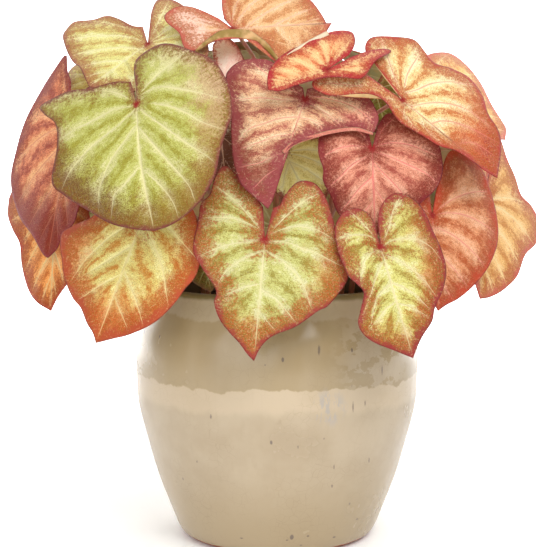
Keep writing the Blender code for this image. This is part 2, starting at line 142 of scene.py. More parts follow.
# Small marks burnt into the glaze: across and up on the sheet, half width and half height
GLAZE_MARKS = [(-66, 110.5, 1, 2.4), (21, 80, 0.7, 2), (47, 88.5, 0.8, 1.2), (76, 120, 0.8, 6),
               (88, 124, 0.8, 3), (105, 157, 0.8, 5), (92, 67, 0.8, 3), (55, 41, 1, 2), (42, 177, 1.4, 5),
               (-80, 65.5, 0.7, 1.5), (80, 8, 1.4, 1.4), (31, -9, 1.4, 1.2), (57, -10, 1.8, 1.2),
               (10, -13, 1.4, 1), (-35.5, -11, 1.6, 0.9), (24, -18, 1.5, 0.8), (-12, 162, 0.7, 1),
               (57, 60, 0.7, 2.6)]
# Where the painted shade of the leaves breaks and the plain cream shows, across and up on the sheet
SHADE_BREAK = (101, 174)
BLUE_PATCH = (52, 119)
# Pinholes of two sizes: cells a metre, size in a cell, share of cells left without, and shift of the pattern
PINHOLES = [(42.0, 0.10, 0.86, 1.7), (95.0, 0.15, 0.90, 5.3)]


def sight_ray(across, up):
    """From the eye to a point of the sheet."""
    forward = np.array([0.0, math.cos(PITCH), -math.sin(PITCH)])
    upward = np.array([0.0, math.sin(PITCH), math.cos(PITCH)])
    across, up = across - SHEET_MIDDLE[0], up - SHEET_MIDDLE[1]
    return SHEET_DISTANCE * forward + across * np.array([1.0, 0.0, 0.0]) + up * upward


def on_the_front(across, up):
    """Where the sight through a point of the sheet meets the front of the pot, in metres."""
    radii, heights = np.array(POT_OUTSIDE[::-1]).T
    ray = sight_ray(across, up)
    deep = -radii.max()
    for _ in range(8):
        point = EYE + ray * (deep - EYE[1]) / ray[1]
        deep = -math.sqrt(max(np.interp(point[2], heights, radii) ** 2 - point[0] ** 2, 0.0))
    return tuple(point * MM)


class Field:
    """A number, place or colour that varies over a surface or from one point to the next."""

    def __init__(self, socket):
        self.socket = socket

    def beside(self, output):
        """Another output of the same node."""
        return Field(self.socket.node.outputs[output])

    def __add__(self, other):
        return calc("ADD", self, other)

    def __sub__(self, other):
        return calc("SUBTRACT", self, other)

    def __rsub__(self, other):
        return calc("SUBTRACT", other, self)

    def __mul__(self, other):
        return calc("MULTIPLY", self, other)

    def __truediv__(self, other):
        return calc("DIVIDE", self, other)

    def __abs__(self):
        return calc("ABSOLUTE", self)


def fill(node, inputs):
    """Fills a node's inputs: a field is linked, and anything else is the socket's own value."""
    for key, value in inputs.items():
        if isinstance(value, Field):
            node.id_data.links.new(value.socket, node.inputs[key])
        else:
            node.inputs[key].default_value = value


def put(kind, inputs=None, output=0, tree=None, **settings):
    """Adds a node, to the given tree or to that of its first field, and gives its output."""
    inputs = inputs or {}
    tree = tree or next(value for value in inputs.values() if isinstance(value, Field)).socket.id_data
    node = tree.nodes.new(kind)
    for key, value in settings.items():
        setattr(node, key, value)
    fill(node, inputs)
    return Field(node.outputs[output])


def calc(operation, *values, **settings):
    return put("ShaderNodeMath", dict(enumerate(values)), operation=operation, **settings)


def largest(a, b):
    return calc("MAXIMUM", a, b)


def smallest(a, b):
    return calc("MINIMUM", a, b)


def place_calc(operation, place, other=(0, 0, 0)):
    """Arithmetic on places. A distance, a length and a dot product come out as plain numbers."""
    plain = operation in ("DISTANCE", "LENGTH", "DOT_PRODUCT")
    return put("ShaderNodeVectorMath", {0: place, 1: other}, int(plain), operation=operation)


def apart(place):
    """The three numbers of a place."""
    first = put("ShaderNodeSeparateXYZ", {0: place})
    return first, first.beside(1), first.beside(2)


def fade(value, low, high, start=0.0, end=1.0):
    """A smooth step of value from low to high."""
    return put("ShaderNodeMapRange",
               {"Value": value, "From Min": low, "From Max": high, "To Min": start, "To Max": end},
               interpolation_type="SMOOTHSTEP")


def paint(red, green, blue):
    """A colour of the paint chart, made linear."""
    shares = (red / 255, green / 255, blue / 255)
    return (*(c / 12.92 if c <= 10 / 255 else ((c + 0.055) / 1.055) ** 2.4 for c in shares), 1.0)


def mix(factor, first, second, blend="MIX"):
    """Two colours mixed, each a field, a linear colour of four numbers or one of the paint chart."""
    first, second = (paint(*c) if isinstance(c, tuple) and len(c) == 3 else c for c in (first, second))
    return put("ShaderNodeMix", {"Factor": factor, 6: first, 7: second}, 2, data_type="RGBA",
               blend_type=blend)


def noise(place, scale, detail=2.0, roughness=0.5, stretch=(1, 1, 1), offset=(0, 0, 0)):
    """Noise from 0 to 1, with scale features to each unit of the place."""
    place = put("ShaderNodeMapping", {"Vector": place, "Scale": stretch, "Location": offset})
    return put("ShaderNodeTexNoise",
               {"Vector": place, "Scale": scale, "Detail": detail, "Roughness": roughness})


def bump(height, strength, distance):
    return put("ShaderNodeBump", {"Height": height, "Strength": strength, "Distance": distance})


def new_finish(name):
    """A material and its shader."""
    finish = bpy.data.materials.new(name)
    finish.use_nodes = True
    return finish, finish.node_tree.nodes["Principled BSDF"]


def place_on(finish):
    """The place on the piece, in metres, which the finish's patterns read."""
    return put("ShaderNodeTexCoord", output=3, tree=finish.node_tree)


def glaze_finish():
    finish, shader = new_finish("cream crackle glaze")
    place = place_on(finish)
    height = apart(place)[2]
    cloud = noise(place, 14, 4, 0.6)
    streak = noise(place, 170, 4, 0.65, stretch=(1, 1, 0.04))
    colour = mix(fade(cloud, 0.35, 0.7), CREAM, BEIGE)
    colour = mix(fade(streak, 0.52, 0.75, 0, 0.35), colour, STREAK_TAN)
    # The painted shade and reflection of the leaves: a tan band with a torn lower edge and uneven strength,
    # broken where the plain cream shows
    torn_height = height + (noise(place, 30, 4, 0.6, stretch=(1, 1, 0.6)) - 0.5) * 0.022
    leaf_shade = (fade(torn_height, LEAF_SHADE_EDGE, LEAF_SHADE_EDGE + 0.0012)
           * fade(torn_height, SHOULDER_LINE + 0.003, SHOULDER_LINE))
    shade_break = fade(place_calc("DISTANCE", place, on_the_front(*SHADE_BREAK)), 0.025, 0.060, 0.95, 0.0)
    shade_break = shade_break * fade(noise(place, 44, 4, 0.65, (1, 1, 1.5), (2, 0, 1)), 0.46, 0.49)
    leaf_shade = calc("SUBTRACT", leaf_shade, shade_break, use_clamp=True)
    shade_strength = noise(place, 24, 3, 0.5, (1, 1, 0.3), (5, 0, 2))
    colour = mix(leaf_shade * fade(shade_strength, 0.35, 0.65, 0.78, 0.5), colour, LEAF_SHADE_TAN)
    band = (fade(torn_height, LEAF_SHADE_EDGE - 0.026, LEAF_SHADE_EDGE - 0.016)
            * fade(torn_height, LEAF_SHADE_EDGE + 0.002, LEAF_SHADE_EDGE))
    colour = mix(band * 0.3, colour, BAND_PALE)
    # The glaze is darker towards the foot
    colour = mix(fade(height, 0.10, 0.02, 0.0, 0.8), colour, FOOT_DARKENING)
    wobble = put("ShaderNodeTexNoise", {"Vector": place, "Scale": 90.0}, 1)
    wobble = put("ShaderNodeVectorMath", {0: wobble, "Scale": 0.004}, operation="SCALE")
    crazing = put("ShaderNodeTexVoronoi", {"Vector": place_calc("ADD", place, wobble), "Scale": 130.0},
                  feature="DISTANCE_TO_EDGE")
    craze = fade(crazing, 0.0, 0.03, 1, 0) * fade(noise(place, 22), 0.42, 0.62)
    colour = mix(craze * 0.2, colour, CRAZE_BROWN)
    pit = 0.0
    for cells, size, bar, shift in PINHOLES:
        moved = put("ShaderNodeMapping", {"Vector": place, "Location": (shift, shift, 0),
                                          "Scale": (1, 1, 0.55)})
        cell = put("ShaderNodeTexVoronoi", {"Vector": moved, "Scale": cells})
        chance = put("ShaderNodeSeparateColor", {0: cell.beside("Color")})
        pit = largest(pit, fade(cell, size * 0.5, size, 1, 0) * calc("GREATER_THAN", chance, bar))
    speckle = noise(place, 700) * 0.9
    for across, up, half_width, half_height in GLAZE_MARKS:
        gap = place_calc("SUBTRACT", place, on_the_front(across, up))
        gap = place_calc("MULTIPLY", gap, (1 / (half_width * MM), 1 / (4 * half_width * MM),
                                             1 / (half_height * MM)))
        pit = largest(pit, fade(place_calc("LENGTH", gap) + speckle, 0.9, 1.6, 0.85, 0))
    colour = mix(pit * 0.75, colour, PIT_GREY)
    blue = fade(place_calc("DISTANCE", place, on_the_front(*BLUE_PATCH)), 0.008, 0.022, 0.5, 0)
    blue = blue * fade(noise(place, 160, 3, 0.7, (1, 1, 0.4)), 0.50, 0.62)
    colour = mix(blue, colour, BLUE_GREY)
    ragged = height + noise(place, 60) * 0.004
    colour = mix(fade(ragged, LIP_LINE, LIP_LINE + 0.004) * 0.85, colour, LIP_BROWN)
    # Painted shade on the inside of the wall above the soil, which is also made rougher there
    from_axis = place_calc("LENGTH", place_calc("MULTIPLY", place, (1, 1, 0)))
    inner_wall_shade = fade(from_axis, 0.1205, 0.1180) * fade(height, 0.2, 0.22)
    colour = mix(inner_wall_shade * 0.85, colour, INNER_WALL_SHADE)
    clay = fade(ragged, CLAY_LINE, CLAY_LINE - 0.001)
    colour = mix(clay, colour, BARE_CLAY)
    relief = noise(place, 26, 2, 0.5, (1, 1, 0.4)) + (leaf_shade - pit) * 0.3
    fill(shader, {"Base Color": colour, "Normal": bump(relief, 0.12, 0.002),
                  "Roughness": fade(cloud, 0.3, 0.7, 0.20, 0.28) + largest(clay, inner_wall_shade) * 0.6})
    return finish


inside = smooth_line(POT_INSIDE[1:], 60)
outside = smooth_line(POT_OUTSIDE, 90)
pot_profile = [POT_INSIDE[0], *inside, *outside[1:], (0, 0)]
pot = add_piece("glazed_pot", turned_mesh("glazed_pot", pot_profile, POT_STEPS))
pot.data.materials.append(glaze_finish())
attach(pot, "root")
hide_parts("pot")

# The soil
# Damp potting mix of peat, bark and white perlite, filled to a finger's breadth under the lip. It is one
# settled body with loose crumbs scattered on its top.
SOIL_TOP = 232
SOIL_SWELL = 4
SOIL_RADIUS = 116
SOIL_FLOOR = 14.3
FLOOR_RADIUS = 83.5
SOIL_GAP = 0.5
SOIL_ROUGHNESS = 0.9
# Crumbs: name, number a square metre, smallest and largest radius in metres, and seed
CRUMBS = [("bark_crumbs", 62000.0, 0.0008, 0.0028, 3), ("perlite_bits", 2600.0, 0.0008, 0.0020, 8)]


def new_tree(name, source, numbers):
    """A geometry tree with named inputs for what it works on, its sizes and its finish."""
    tree = bpy.data.node_groups.new(name, "GeometryNodeTree")
    face = tree.interface
    face.new_socket(source, in_out="INPUT", socket_type="NodeSocketGeometry")
    face.new_socket("Made", in_out="OUTPUT", socket_type="NodeSocketGeometry")
    for label, value in numbers.items():
        kind = "NodeSocketInt" if isinstance(value, int) else "NodeSocketFloat"
        face.new_socket(label, in_out="INPUT", socket_type=kind).default_value = value
    face.new_socket("Finish", in_out="INPUT", socket_type="NodeSocketMaterial")
    return tree, {socket.name: Field(socket) for socket in tree.nodes.new("NodeGroupInput").outputs}


def end_tree(tree, made, finish):
    """Makes instances real and sets their material, as the tree's last steps."""
    real = put("GeometryNodeRealizeInstances", {0: made})
    dressed = put("GeometryNodeSetMaterial", {0: real, "Material": finish})
    fill(tree.nodes.new("NodeGroupOutput"), {0: dressed})
    return tree


def crumb_tree():
    """Scatters crumbs of uneven size on a surface, each an icosahedron squashed and turned at random."""
    tree, given = new_tree("crumbs", "Surface", {"Density": 1000.0, "Smallest": 0.001, "Largest": 0.003,
                                                 "Seed": 0})
    points = put("GeometryNodeDistributePointsOnFaces",
                 {"Mesh": given["Surface"], "Density": given["Density"], "Seed": given["Seed"]})
    least = put("ShaderNodeCombineXYZ", {axis: given["Smallest"] for axis in range(3)})
    most = put("ShaderNodeCombineXYZ", {axis: given["Largest"] for axis in range(3)})
    size = put("FunctionNodeRandomValue", {0: least, 1: most, "Seed": given["Seed"]},
               data_type="FLOAT_VECTOR")
    turn = put("FunctionNodeRandomValue", {0: (0, 0, 0), 1: (6.28, 6.28, 6.28), "Seed": given["Seed"]},
               data_type="FLOAT_VECTOR")
    crumb = put("GeometryNodeMeshIcoSphere", {"Radius": 1.0, "Subdivisions": 1}, tree=tree)
    placed = put("GeometryNodeInstanceOnPoints",
                 {"Points": points, "Instance": crumb, "Scale": size, "Rotation": turn})
    return end_tree(tree, placed, given["Finish"])


def plain_mesh(carrier, name):
    """The carrier's mesh as its modifiers leave it. The carrier goes."""
    bpy.context.view_layer.update()
    graph = bpy.context.evaluated_depsgraph_get()
    data = bpy.data.meshes.new_from_object(carrier.evaluated_get(graph))
    carrier.modifiers.clear()
    bpy.data.objects.remove(carrier, do_unlink=True)
    data.name = name
    return data


def grown(carrier, tree, inputs, name):
    """Runs a node tree on a carrier and gives the result as a plain mesh."""
    modifier = carrier.modifiers.new("grow", "NODES")
    modifier.node_group = tree
    for item in tree.interface.items_tree:
        if item.in_out == "INPUT" and item.name in inputs:
            modifier[item.identifier] = inputs[item.name]
    return plain_mesh(carrier, name)


def soil_finish(name, dark, light, bright):
    finish, shader = new_finish(name)
    place = place_on(finish)
    colour = mix(noise(place, 420, 3, 0.7), dark, light)
    colour = mix(fade(noise(place, 900, 1), 0.66, 0.74), colour, bright)
    fill(shader, {"Base Color": colour, "Roughness": 0.95, "Specular IOR Level": 0.2,
                  "Normal": bump(noise(place, 600, 4, 0.7), 0.8, 0.002)})
    return finish


def join_pieces(pieces):
    """Joins objects into the first."""
    with bpy.context.temp_override(active_object=pieces[0], object=pieces[0], selected_objects=pieces,
                                   selected_editable_objects=pieces):
        bpy.ops.object.join()
    return pieces[0]


def soil_top(steps, share=1.0):
    """The swell of the soil, as radii and heights from the middle outwards."""
    return [(SOIL_RADIUS * t * share, SOIL_TOP + SOIL_SWELL * math.cos(math.pi / 2 * t))
            for t in np.linspace(0, 1, steps)]


peat = soil_finish("damp peat", (34, 25, 19), (62, 46, 34), (92, 74, 56))
perlite = soil_finish("perlite", (120, 114, 102), (150, 144, 132), (176, 170, 158))
wall = [(radius - SOIL_GAP, height) for radius, height in POT_INSIDE[2:7]][::-1]
soil_profile = soil_top(30) + wall + [(FLOOR_RADIUS, SOIL_FLOOR), (0, SOIL_FLOOR)]
soil = add_piece("potting_mix", turned_mesh("potting_mix", soil_profile, 120))
soil.data.materials.append(peat)
grit = random.Random(11)
for vertex in soil.data.vertices:
    if vertex.co.z > (SOIL_TOP - 1) * MM:
        vertex.co.z += grit.uniform(-SOIL_ROUGHNESS, SOIL_ROUGHNESS) * MM
crumbs = crumb_tree()
loose = [soil]
for (label, density, smallest_crumb, largest_crumb, seed), finish in zip(CRUMBS, (peat, perlite)):
    carrier = add_piece("carrier", turned_mesh("carrier", soil_top(12, 0.985), 48))
    data = grown(carrier, crumbs, {"Density": density, "Smallest": smallest_crumb, "Largest": largest_crumb,
                                   "Seed": seed, "Finish": finish}, label)
    loose.append(add_piece(label, data))
soil = join_pieces(loose)
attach(soil, "root")
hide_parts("soil")

# The leaves that hang over the rim
# Full-grown caladium leaves: thin, soft, heart-shaped blades, each on its own smooth stalk that joins it at
# the heart. Sunken veins fan out from there. The green middle is freckled with red, which runs together
# into a solid margin.
SPOKES = 84
RINGS = 38
BLADE = 0.7
TIP_DROOP = 8.0
LOBE_DROOP = 36.0
SIDE_DROOP = 8.0
FOLD = 4.0
WAVE_DEPTH = 2.5
WAVES = 5
PUCKER = 2.6
RIB_DEPTH = 1.2
STALK_RADII = (0.0030, 0.0018)
STALK_SIDES = 14
STALK_RISE = 0.45
STALK_FALL = 0.33
HOLE_FLOOR = 204.3
# What a finish reads from a blade's maps: the place on the flat blade, the vein's number and the gap between
# veins, and the distances to the margin and the midrib. Lengths are in millimetres, and all are divided by
# MAP_UNIT.
MAPS = ("blade", "veins", "reach")
MAP_UNIT = 100.0
# Where each vein leaves the midrib and where it meets the margin, as shares of the midrib and of the edge,
# and how much it arches
VEINS = [(0.0, 0.17, -0.10), (0.0, 0.42, 0.13), (0.01, 0.57, 0.16), (0.13, 0.71, 0.15), (0.40, 0.83, 0.13),
         (0.64, 0.92, 0.10)]


def unit(vector):
    vector = np.asarray(vector, float)
    return vector / np.linalg.norm(vector)


def facing(turn, rise):
    """The way a blade faces: turned from the front to the right, and raised, in degrees."""
    turn, rise = math.radians(turn), math.radians(rise)
    return np.array([math.sin(turn) * math.cos(rise), -math.cos(turn) * math.cos(rise), math.sin(rise)])


def on_plane(point, through, normal):
    """Where the sight through a point of the sheet meets a plane."""
    ray = sight_ray(*point)
    return EYE + ray * np.dot(through - EYE, normal) / np.dot(ray, normal)


def front_leaf(entry):
    """The leaf's place, flat outline and veins, worked out from what is seen of them."""
    normal = facing(entry["turn"], entry["rise"])
    ray = sight_ray(*entry["heart"])
    heart = EYE + ray * (entry["depth"] - EYE[1]) / ray[1]
    along = unit(on_plane(entry["tip"], heart, normal) - heart)
    across = np.cross(normal, along)

    def flat(points):
        gaps = [on_plane(point, heart, normal) - heart for point in points]
        return [(np.dot(gap, across), np.dot(gap, along)) for gap in gaps]

    shape = {}
    for side in ("right", "left"):
        shape[side] = flat(entry[side] + [entry["tip"]])
        if side + "_veins" in entry:
            shape[side + "_veins"] = [np.array(flat(line)) for line in entry[side + "_veins"]]
    return {**entry, **shape, "normal": normal, "heart": heart, "along": along, "across": across,
            "seen": True}


def bend(leaf, u, v):
    """How far the blade stands out of its flat plane: tip, lobes and sides fall away from the heart."""
    length = leaf["right"][-1][1]
    half = max(abs(point[0]) for point in leaf["right"] + leaf["left"])
    towards_tip = np.maximum(v / length, 0)
    towards_lobes = np.maximum(-v / length, 0)
    side = np.abs(u) / half
    fall = TIP_DROOP * towards_tip ** 2 + LOBE_DROOP * towards_lobes ** 2 + SIDE_DROOP * side ** 2
    return FOLD * side ** 0.8 - fall


def in_space(leaf, u, v, out):
    """Points of the blade. A leaf seen from the front bends along the sight, to keep its outline as seen."""
    point = leaf["heart"] + u[..., None] * leaf["across"] + v[..., None] * leaf["along"]
    if not leaf["seen"]:
        return point + leaf["normal"] * out[..., None]
    sight = EYE - point
    return point + sight / np.linalg.norm(sight, axis=-1, keepdims=True) * out[..., None]


def distance_to_line(points, line):
    """How far each point is from a line of points, and on which side of it."""
    start, end = line[:-1], line[1:]
    run = end - start
    gap = points[:, None, :] - start[None]
    share = np.clip((gap * run).sum(-1) / (run * run).sum(-1), 0, 1)
    offset = gap - share[..., None] * run
    distance = np.linalg.norm(offset, axis=-1)
    nearest = distance.argmin(1)
    rows = np.arange(len(points))
    run, gap = run[nearest], gap[rows, nearest]
    return distance[rows, nearest], np.sign(run[:, 0] * gap[:, 1] - run[:, 1] * gap[:, 0])


def usual_vein(edge, length, start, end, arch):
    """A vein from the midrib to the margin, arched towards the lobes."""
    root = np.array([0.0, start * length])
    at = end * (len(edge) - 1)
    low = min(int(at), len(edge) - 2)
    tip = edge[low] + (edge[low + 1] - edge[low]) * (at - low)
    out = tip - root
    middle = (root + tip) / 2 + np.array([0.0, -abs(out[0]) * arch - np.linalg.norm(out) * abs(arch) * 0.5])
    t = np.linspace(0, 1, 18)[:, None]
    return (1 - t) ** 2 * root + 2 * (1 - t) * t * middle + t ** 2 * tip


def drawn_vein(points, leaf):
    """A vein through points on the flat blade, smoothed, with the midrib's bow taken off."""
    line = smooth_line(points, 18)
    t = np.clip(line[:, 1] / leaf["right"][-1][1], 0, 1)
    line[:, 0] -= leaf.get("bow", 0.0) * 4 * t * (1 - t) * 0.85
    return line


def vein_fields(points, hand, edge, veins):
    """For each point of one half: its vein's number, plus its share of the gap to the next, and that gap."""
    distances, counts = [], np.zeros(len(points), int)
    for line in veins:
        past = line[-1] + (line[-1] - line[-2]) * 6
        distance, turn = distance_to_line(points, np.vstack([line, past]))
        distances.append(distance)
        counts += (turn * hand > 0).astype(int)
    notch = distance_to_line(points, np.array([[0.0, 0.0], edge[0]]))[0]
    bounds = np.array([notch] + distances + [np.abs(points[:, 0])])
    rows = np.arange(len(points))
    before, after = bounds[counts, rows], bounds[counts + 1, rows]
    gap = np.maximum(before + after, 0.01)
    share = before / gap
    share = np.where(counts == 0, 0.5 + 0.5 * share, share)
    return counts + share, gap


def blade_mesh(leaf, spokes, rings):
    """The blade as one sheet, with its veins sunk, and what its finish needs to know in three UV maps."""
    length = leaf["right"][-1][1]
    bow = leaf.get("bow", 0.0)
    edges = {side: smooth_line(leaf[side], spokes) for side in ("right", "left")}
    outline = np.vstack([[[0.0, 0.0]], edges["right"], edges["left"][-2::-1], [[0.0, 0.0]]])
    share = (np.arange(1, rings + 1) / rings)[:, None]
    verts, faces, maps = [leaf["heart"] + leaf["normal"] * -0.4], [], []
    for side, hand in (("right", 1), ("left", -1)):
        edge = edges[side]
        veins = [usual_vein(edge, length, *vein) for vein in VEINS]
        if side + "_veins" in leaf:
            veins = [drawn_vein(points, leaf) for points in leaf[side + "_veins"]]
        u, v = edge[None, :, 0] * share, edge[None, :, 1] * share
        flat = np.stack([u.ravel(), v.ravel()], 1)
        number, gap = (field.reshape(u.shape) for field in vein_fields(flat, hand, edge, veins))
        margin = distance_to_line(flat, outline)[0].reshape(u.shape)
        between = np.abs(number - np.round(number)) * 2
        quilt = PUCKER * np.sin(between * math.pi / 2) * np.clip(gap / 18, 0, 1) * np.clip(margin / 14, 0, 1)
        rib = np.exp(-(u / 5.0) ** 2) * np.where(v > 0, 1.0, 0.0) * np.clip(margin / 10, 0, 1)
        ripple = WAVE_DEPTH * share ** 3 * np.sin(WAVES * math.pi * np.linspace(-hand, 0, spokes + 1))
        out = bend(leaf, u, v) + ripple + (quilt - RIB_DEPTH * rib)
        t = np.clip(v / length, 0, 1)
        points = in_space(leaf, u + bow * 4 * t * (1 - t) * (1 - share ** 4), v, out)
        grid = np.arange(u.size).reshape(u.shape) + len(verts)
        if side == "left":
            grid[:, -1] = midrib
        midrib = grid[:, -1]
        verts.extend(points.reshape(-1, 3))
        side_maps = {"blade": (u, v), "veins": (number, gap), "reach": (margin, u)}
        at_heart = {"blade": (0.0, 0.0), "veins": (number[0].mean(), 1.0), "reach": (0.0, 0.0)}
        for k in range(spokes):
            a, b = (k, k + 1)[::hand]
            faces.append((0, int(grid[0][b]), int(grid[0][a])))
            maps.append([at_heart] + [{m: (x[0][c], y[0][c]) for m, (x, y) in side_maps.items()}
                                      for c in (b, a)])
            for r in range(rings - 1):
                corners = ((r, a), (r, b), (r + 1, b), (r + 1, a))
                faces.append(tuple(int(grid[c]) for c in corners))
                maps.append([{m: (x[c], y[c]) for m, (x, y) in side_maps.items()} for c in corners])
    skins = [0] * len(faces)
    rim = np.vstack([edges["right"], edges["left"]])
    for lower, upper, bulge, gap in leaf.get("rolls", []):
        rolled_margin(leaf, rim, lower, upper, bulge, gap, verts, faces, maps)
    skins += [1] * (len(faces) - len(skins))
    data = bpy.data.meshes.new(leaf["name"])
    data.from_pydata([tuple(point * MM) for point in verts], [], faces)
    for label in MAPS:
        layer = data.uv_layers.new(name=label)
        layer.uv.foreach_set("vector", [number / MAP_UNIT for corners in maps for corner in corners
                                        for number in corner[label]])
    data.polygons.foreach_set("material_index", skins)
    return data


def rolled_margin(leaf, rim, lower, upper, bulge, gap, verts, faces, maps):
    """A stretch of margin that rolls over on itself, from the blade's edge up to its own free edge."""
    steps, across = 40, 8
    low, high = smooth_line(lower, steps), smooth_line(upper, steps)
    first = len(verts)
    for t in np.arange(across + 1) / across:
        for a, b in zip(low, high):
            place = a + (b - a) * math.sin(t * math.pi / 2)
            point = on_plane(place, leaf["heart"], leaf["normal"]) - leaf["heart"]
            u, v = np.array([np.dot(point, leaf["across"])]), np.array([np.dot(point, leaf["along"])])
            on_rim = rim[np.linalg.norm(rim - np.array([u[0], v[0]]), axis=1).argmin()]
            out = bend(leaf, on_rim[:1], on_rim[1:]) + 0.6 + gap * t
            out = out + bulge * math.sin(math.pi * min(t, 0.75))
            verts.append(in_space(leaf, u, v, out)[0])
    for row in range(across):
        for i in range(steps):
            corner = first + row * (steps + 1) + i
            faces.append((corner, corner + 1, corner + steps + 2, corner + steps + 1))
            maps.append([{"blade": (verts[c][0], verts[c][2]), "veins": (0.5, 20.0),
                          "reach": (30.0, 30.0)} for c in faces[-1]])


def stalk_tree():
    """A round stalk along a line, thinner towards the leaf."""
    tree, given = new_tree("stalk", "Line", {"Root Radius": 0.003, "Leaf Radius": 0.0018, "Sides": 14})
    share = put("GeometryNodeSplineParameter", tree=tree)
    radius = put("ShaderNodeMapRange",
                 {"Value": share, "To Min": given["Root Radius"], "To Max": given["Leaf Radius"]})
    ring = put("GeometryNodeCurvePrimitiveCircle", {"Resolution": given["Sides"], "Radius": 1.0})
    tube = put("GeometryNodeCurveToMesh",
               {"Curve": given["Line"], "Profile Curve": ring, "Scale": radius, "Fill Caps": True})
    return end_tree(tree, put("GeometryNodeSetShadeSmooth", {0: tube}), given["Finish"])


def stalk_line(leaf):
    """Straight up out of the soil, over in one arch, and into the heart from behind."""
    root = np.array([*leaf["root"], HOLE_FLOOR])
    above = np.array([*leaf["root"], SOIL_TOP + 2 * SOIL_SWELL])
    heart = leaf["heart"]
    reach = np.linalg.norm(heart - above)
    arrive = unit(leaf.get("arrive", 3 * leaf["normal"] + np.array([0.0, 0.0, 1.0])))
    rise = above + np.array([0.0, 0.0, reach * leaf.get("rise_share", STALK_RISE)])
    fall = heart - arrive * reach * STALK_FALL
    end = heart - arrive * 0.8
    t = np.linspace(0, 1, 30)[:, None]
    arch = (1 - t) ** 3 * above + 3 * (1 - t) ** 2 * t * rise + 3 * (1 - t) * t ** 2 * fall + t ** 3 * end
    return [root, *arch]


def stalk_mesh(leaf):
    line = bpy.data.curves.new("stalk", "CURVE")
    line.dimensions = "3D"
    spline = line.splines.new("POLY")
    points = stalk_line(leaf)
    spline.points.add(len(points) - 1)
    for knot, place in zip(spline.points, points):
        knot.co = (*(place * MM), 1.0)
    return grown(add_piece("stalk", line), stalks,
                 {"Root Radius": STALK_RADII[0], "Leaf Radius": STALK_RADII[1], "Sides": STALK_SIDES,
                  "Finish": stalk_skin}, "stalk")


def stalk_finish():
    finish, shader = new_finish("stalk")
    place = place_on(finish)
    colour = mix(fade(apart(place)[2], 0.25, 0.42), (150, 92, 70), (196, 120, 104))
    colour = mix(fade(noise(place, 300, 3, 0.6, (1, 1, 0.15)), 0.5, 0.7, 0, 0.6), colour, (170, 160, 96))
    fill(shader, {"Base Color": colour, "Roughness": 0.45})
    return finish


# What all blades have in common, and the colours of the four kinds. A leaf's own entry changes what differs
# on it. Sizes are in millimetres: reach is how far the freckles crowd in from the margin, rim the width of
# the solid margin. A tint is an angle from the tip, where it starts and is full, its colour and strength;
# the dark one on small_blush is painted shade.
USUAL_LOOK = dict(reach=30, rim=5, crowd=0.85, amount=0.06, dark=0, dapple=0.55, shade=0.45, tints_and_shade=[],
                  under=(176, 172, 118))
KINDS = {
    "leaf_green": dict(pale=(214, 210, 156), middle=(184, 180, 99), deep=(134, 136, 49),
                       freckle=(158, 92, 56), margin=(146, 64, 58), vein=(222, 214, 160)),
    "leaf_gold": dict(pale=(224, 206, 148), middle=(206, 172, 95), deep=(176, 128, 55),
                      freckle=(184, 92, 48), margin=(176, 72, 52), vein=(228, 208, 154)),
    "leaf_coral": dict(pale=(222, 176, 140), middle=(204, 138, 97), deep=(170, 98, 58),
                       freckle=(172, 74, 49), margin=(166, 60, 50), vein=(212, 118, 108)),
    "leaf_rose": dict(pale=(208, 154, 128), middle=(186, 116, 90), deep=(142, 78, 55),
                      freckle=(142, 54, 46), margin=(128, 44, 50), vein=(204, 106, 106)),
}
HEART_RED = (142, 36, 34)
EDGE_RED = (112, 44, 48)
# What freckles and margins are multiplied by where they are darkest, as linear colours
FLECK_SHADE = (0.42, 0.34, 0.24, 1)
MARGIN_SHADE = (0.40, 0.28, 0.24, 1)


def blade_places(finish):
    """The place on the flat blade, the vein's number and the share of the gap from the nearest vein, and the
    distances to that vein, the midrib and the margin in millimetres."""
    blade, veins, reach = (put("ShaderNodeUVMap", tree=finish.node_tree, uv_map=label) for label in MAPS)
    number, gap, _ = apart(veins)
    margin, across, _ = apart(reach)
    number = number * MAP_UNIT
    off = abs(number - calc("ROUND", number))
    return blade, number, off, off * (gap * MAP_UNIT), abs(across * MAP_UNIT), margin * MAP_UNIT


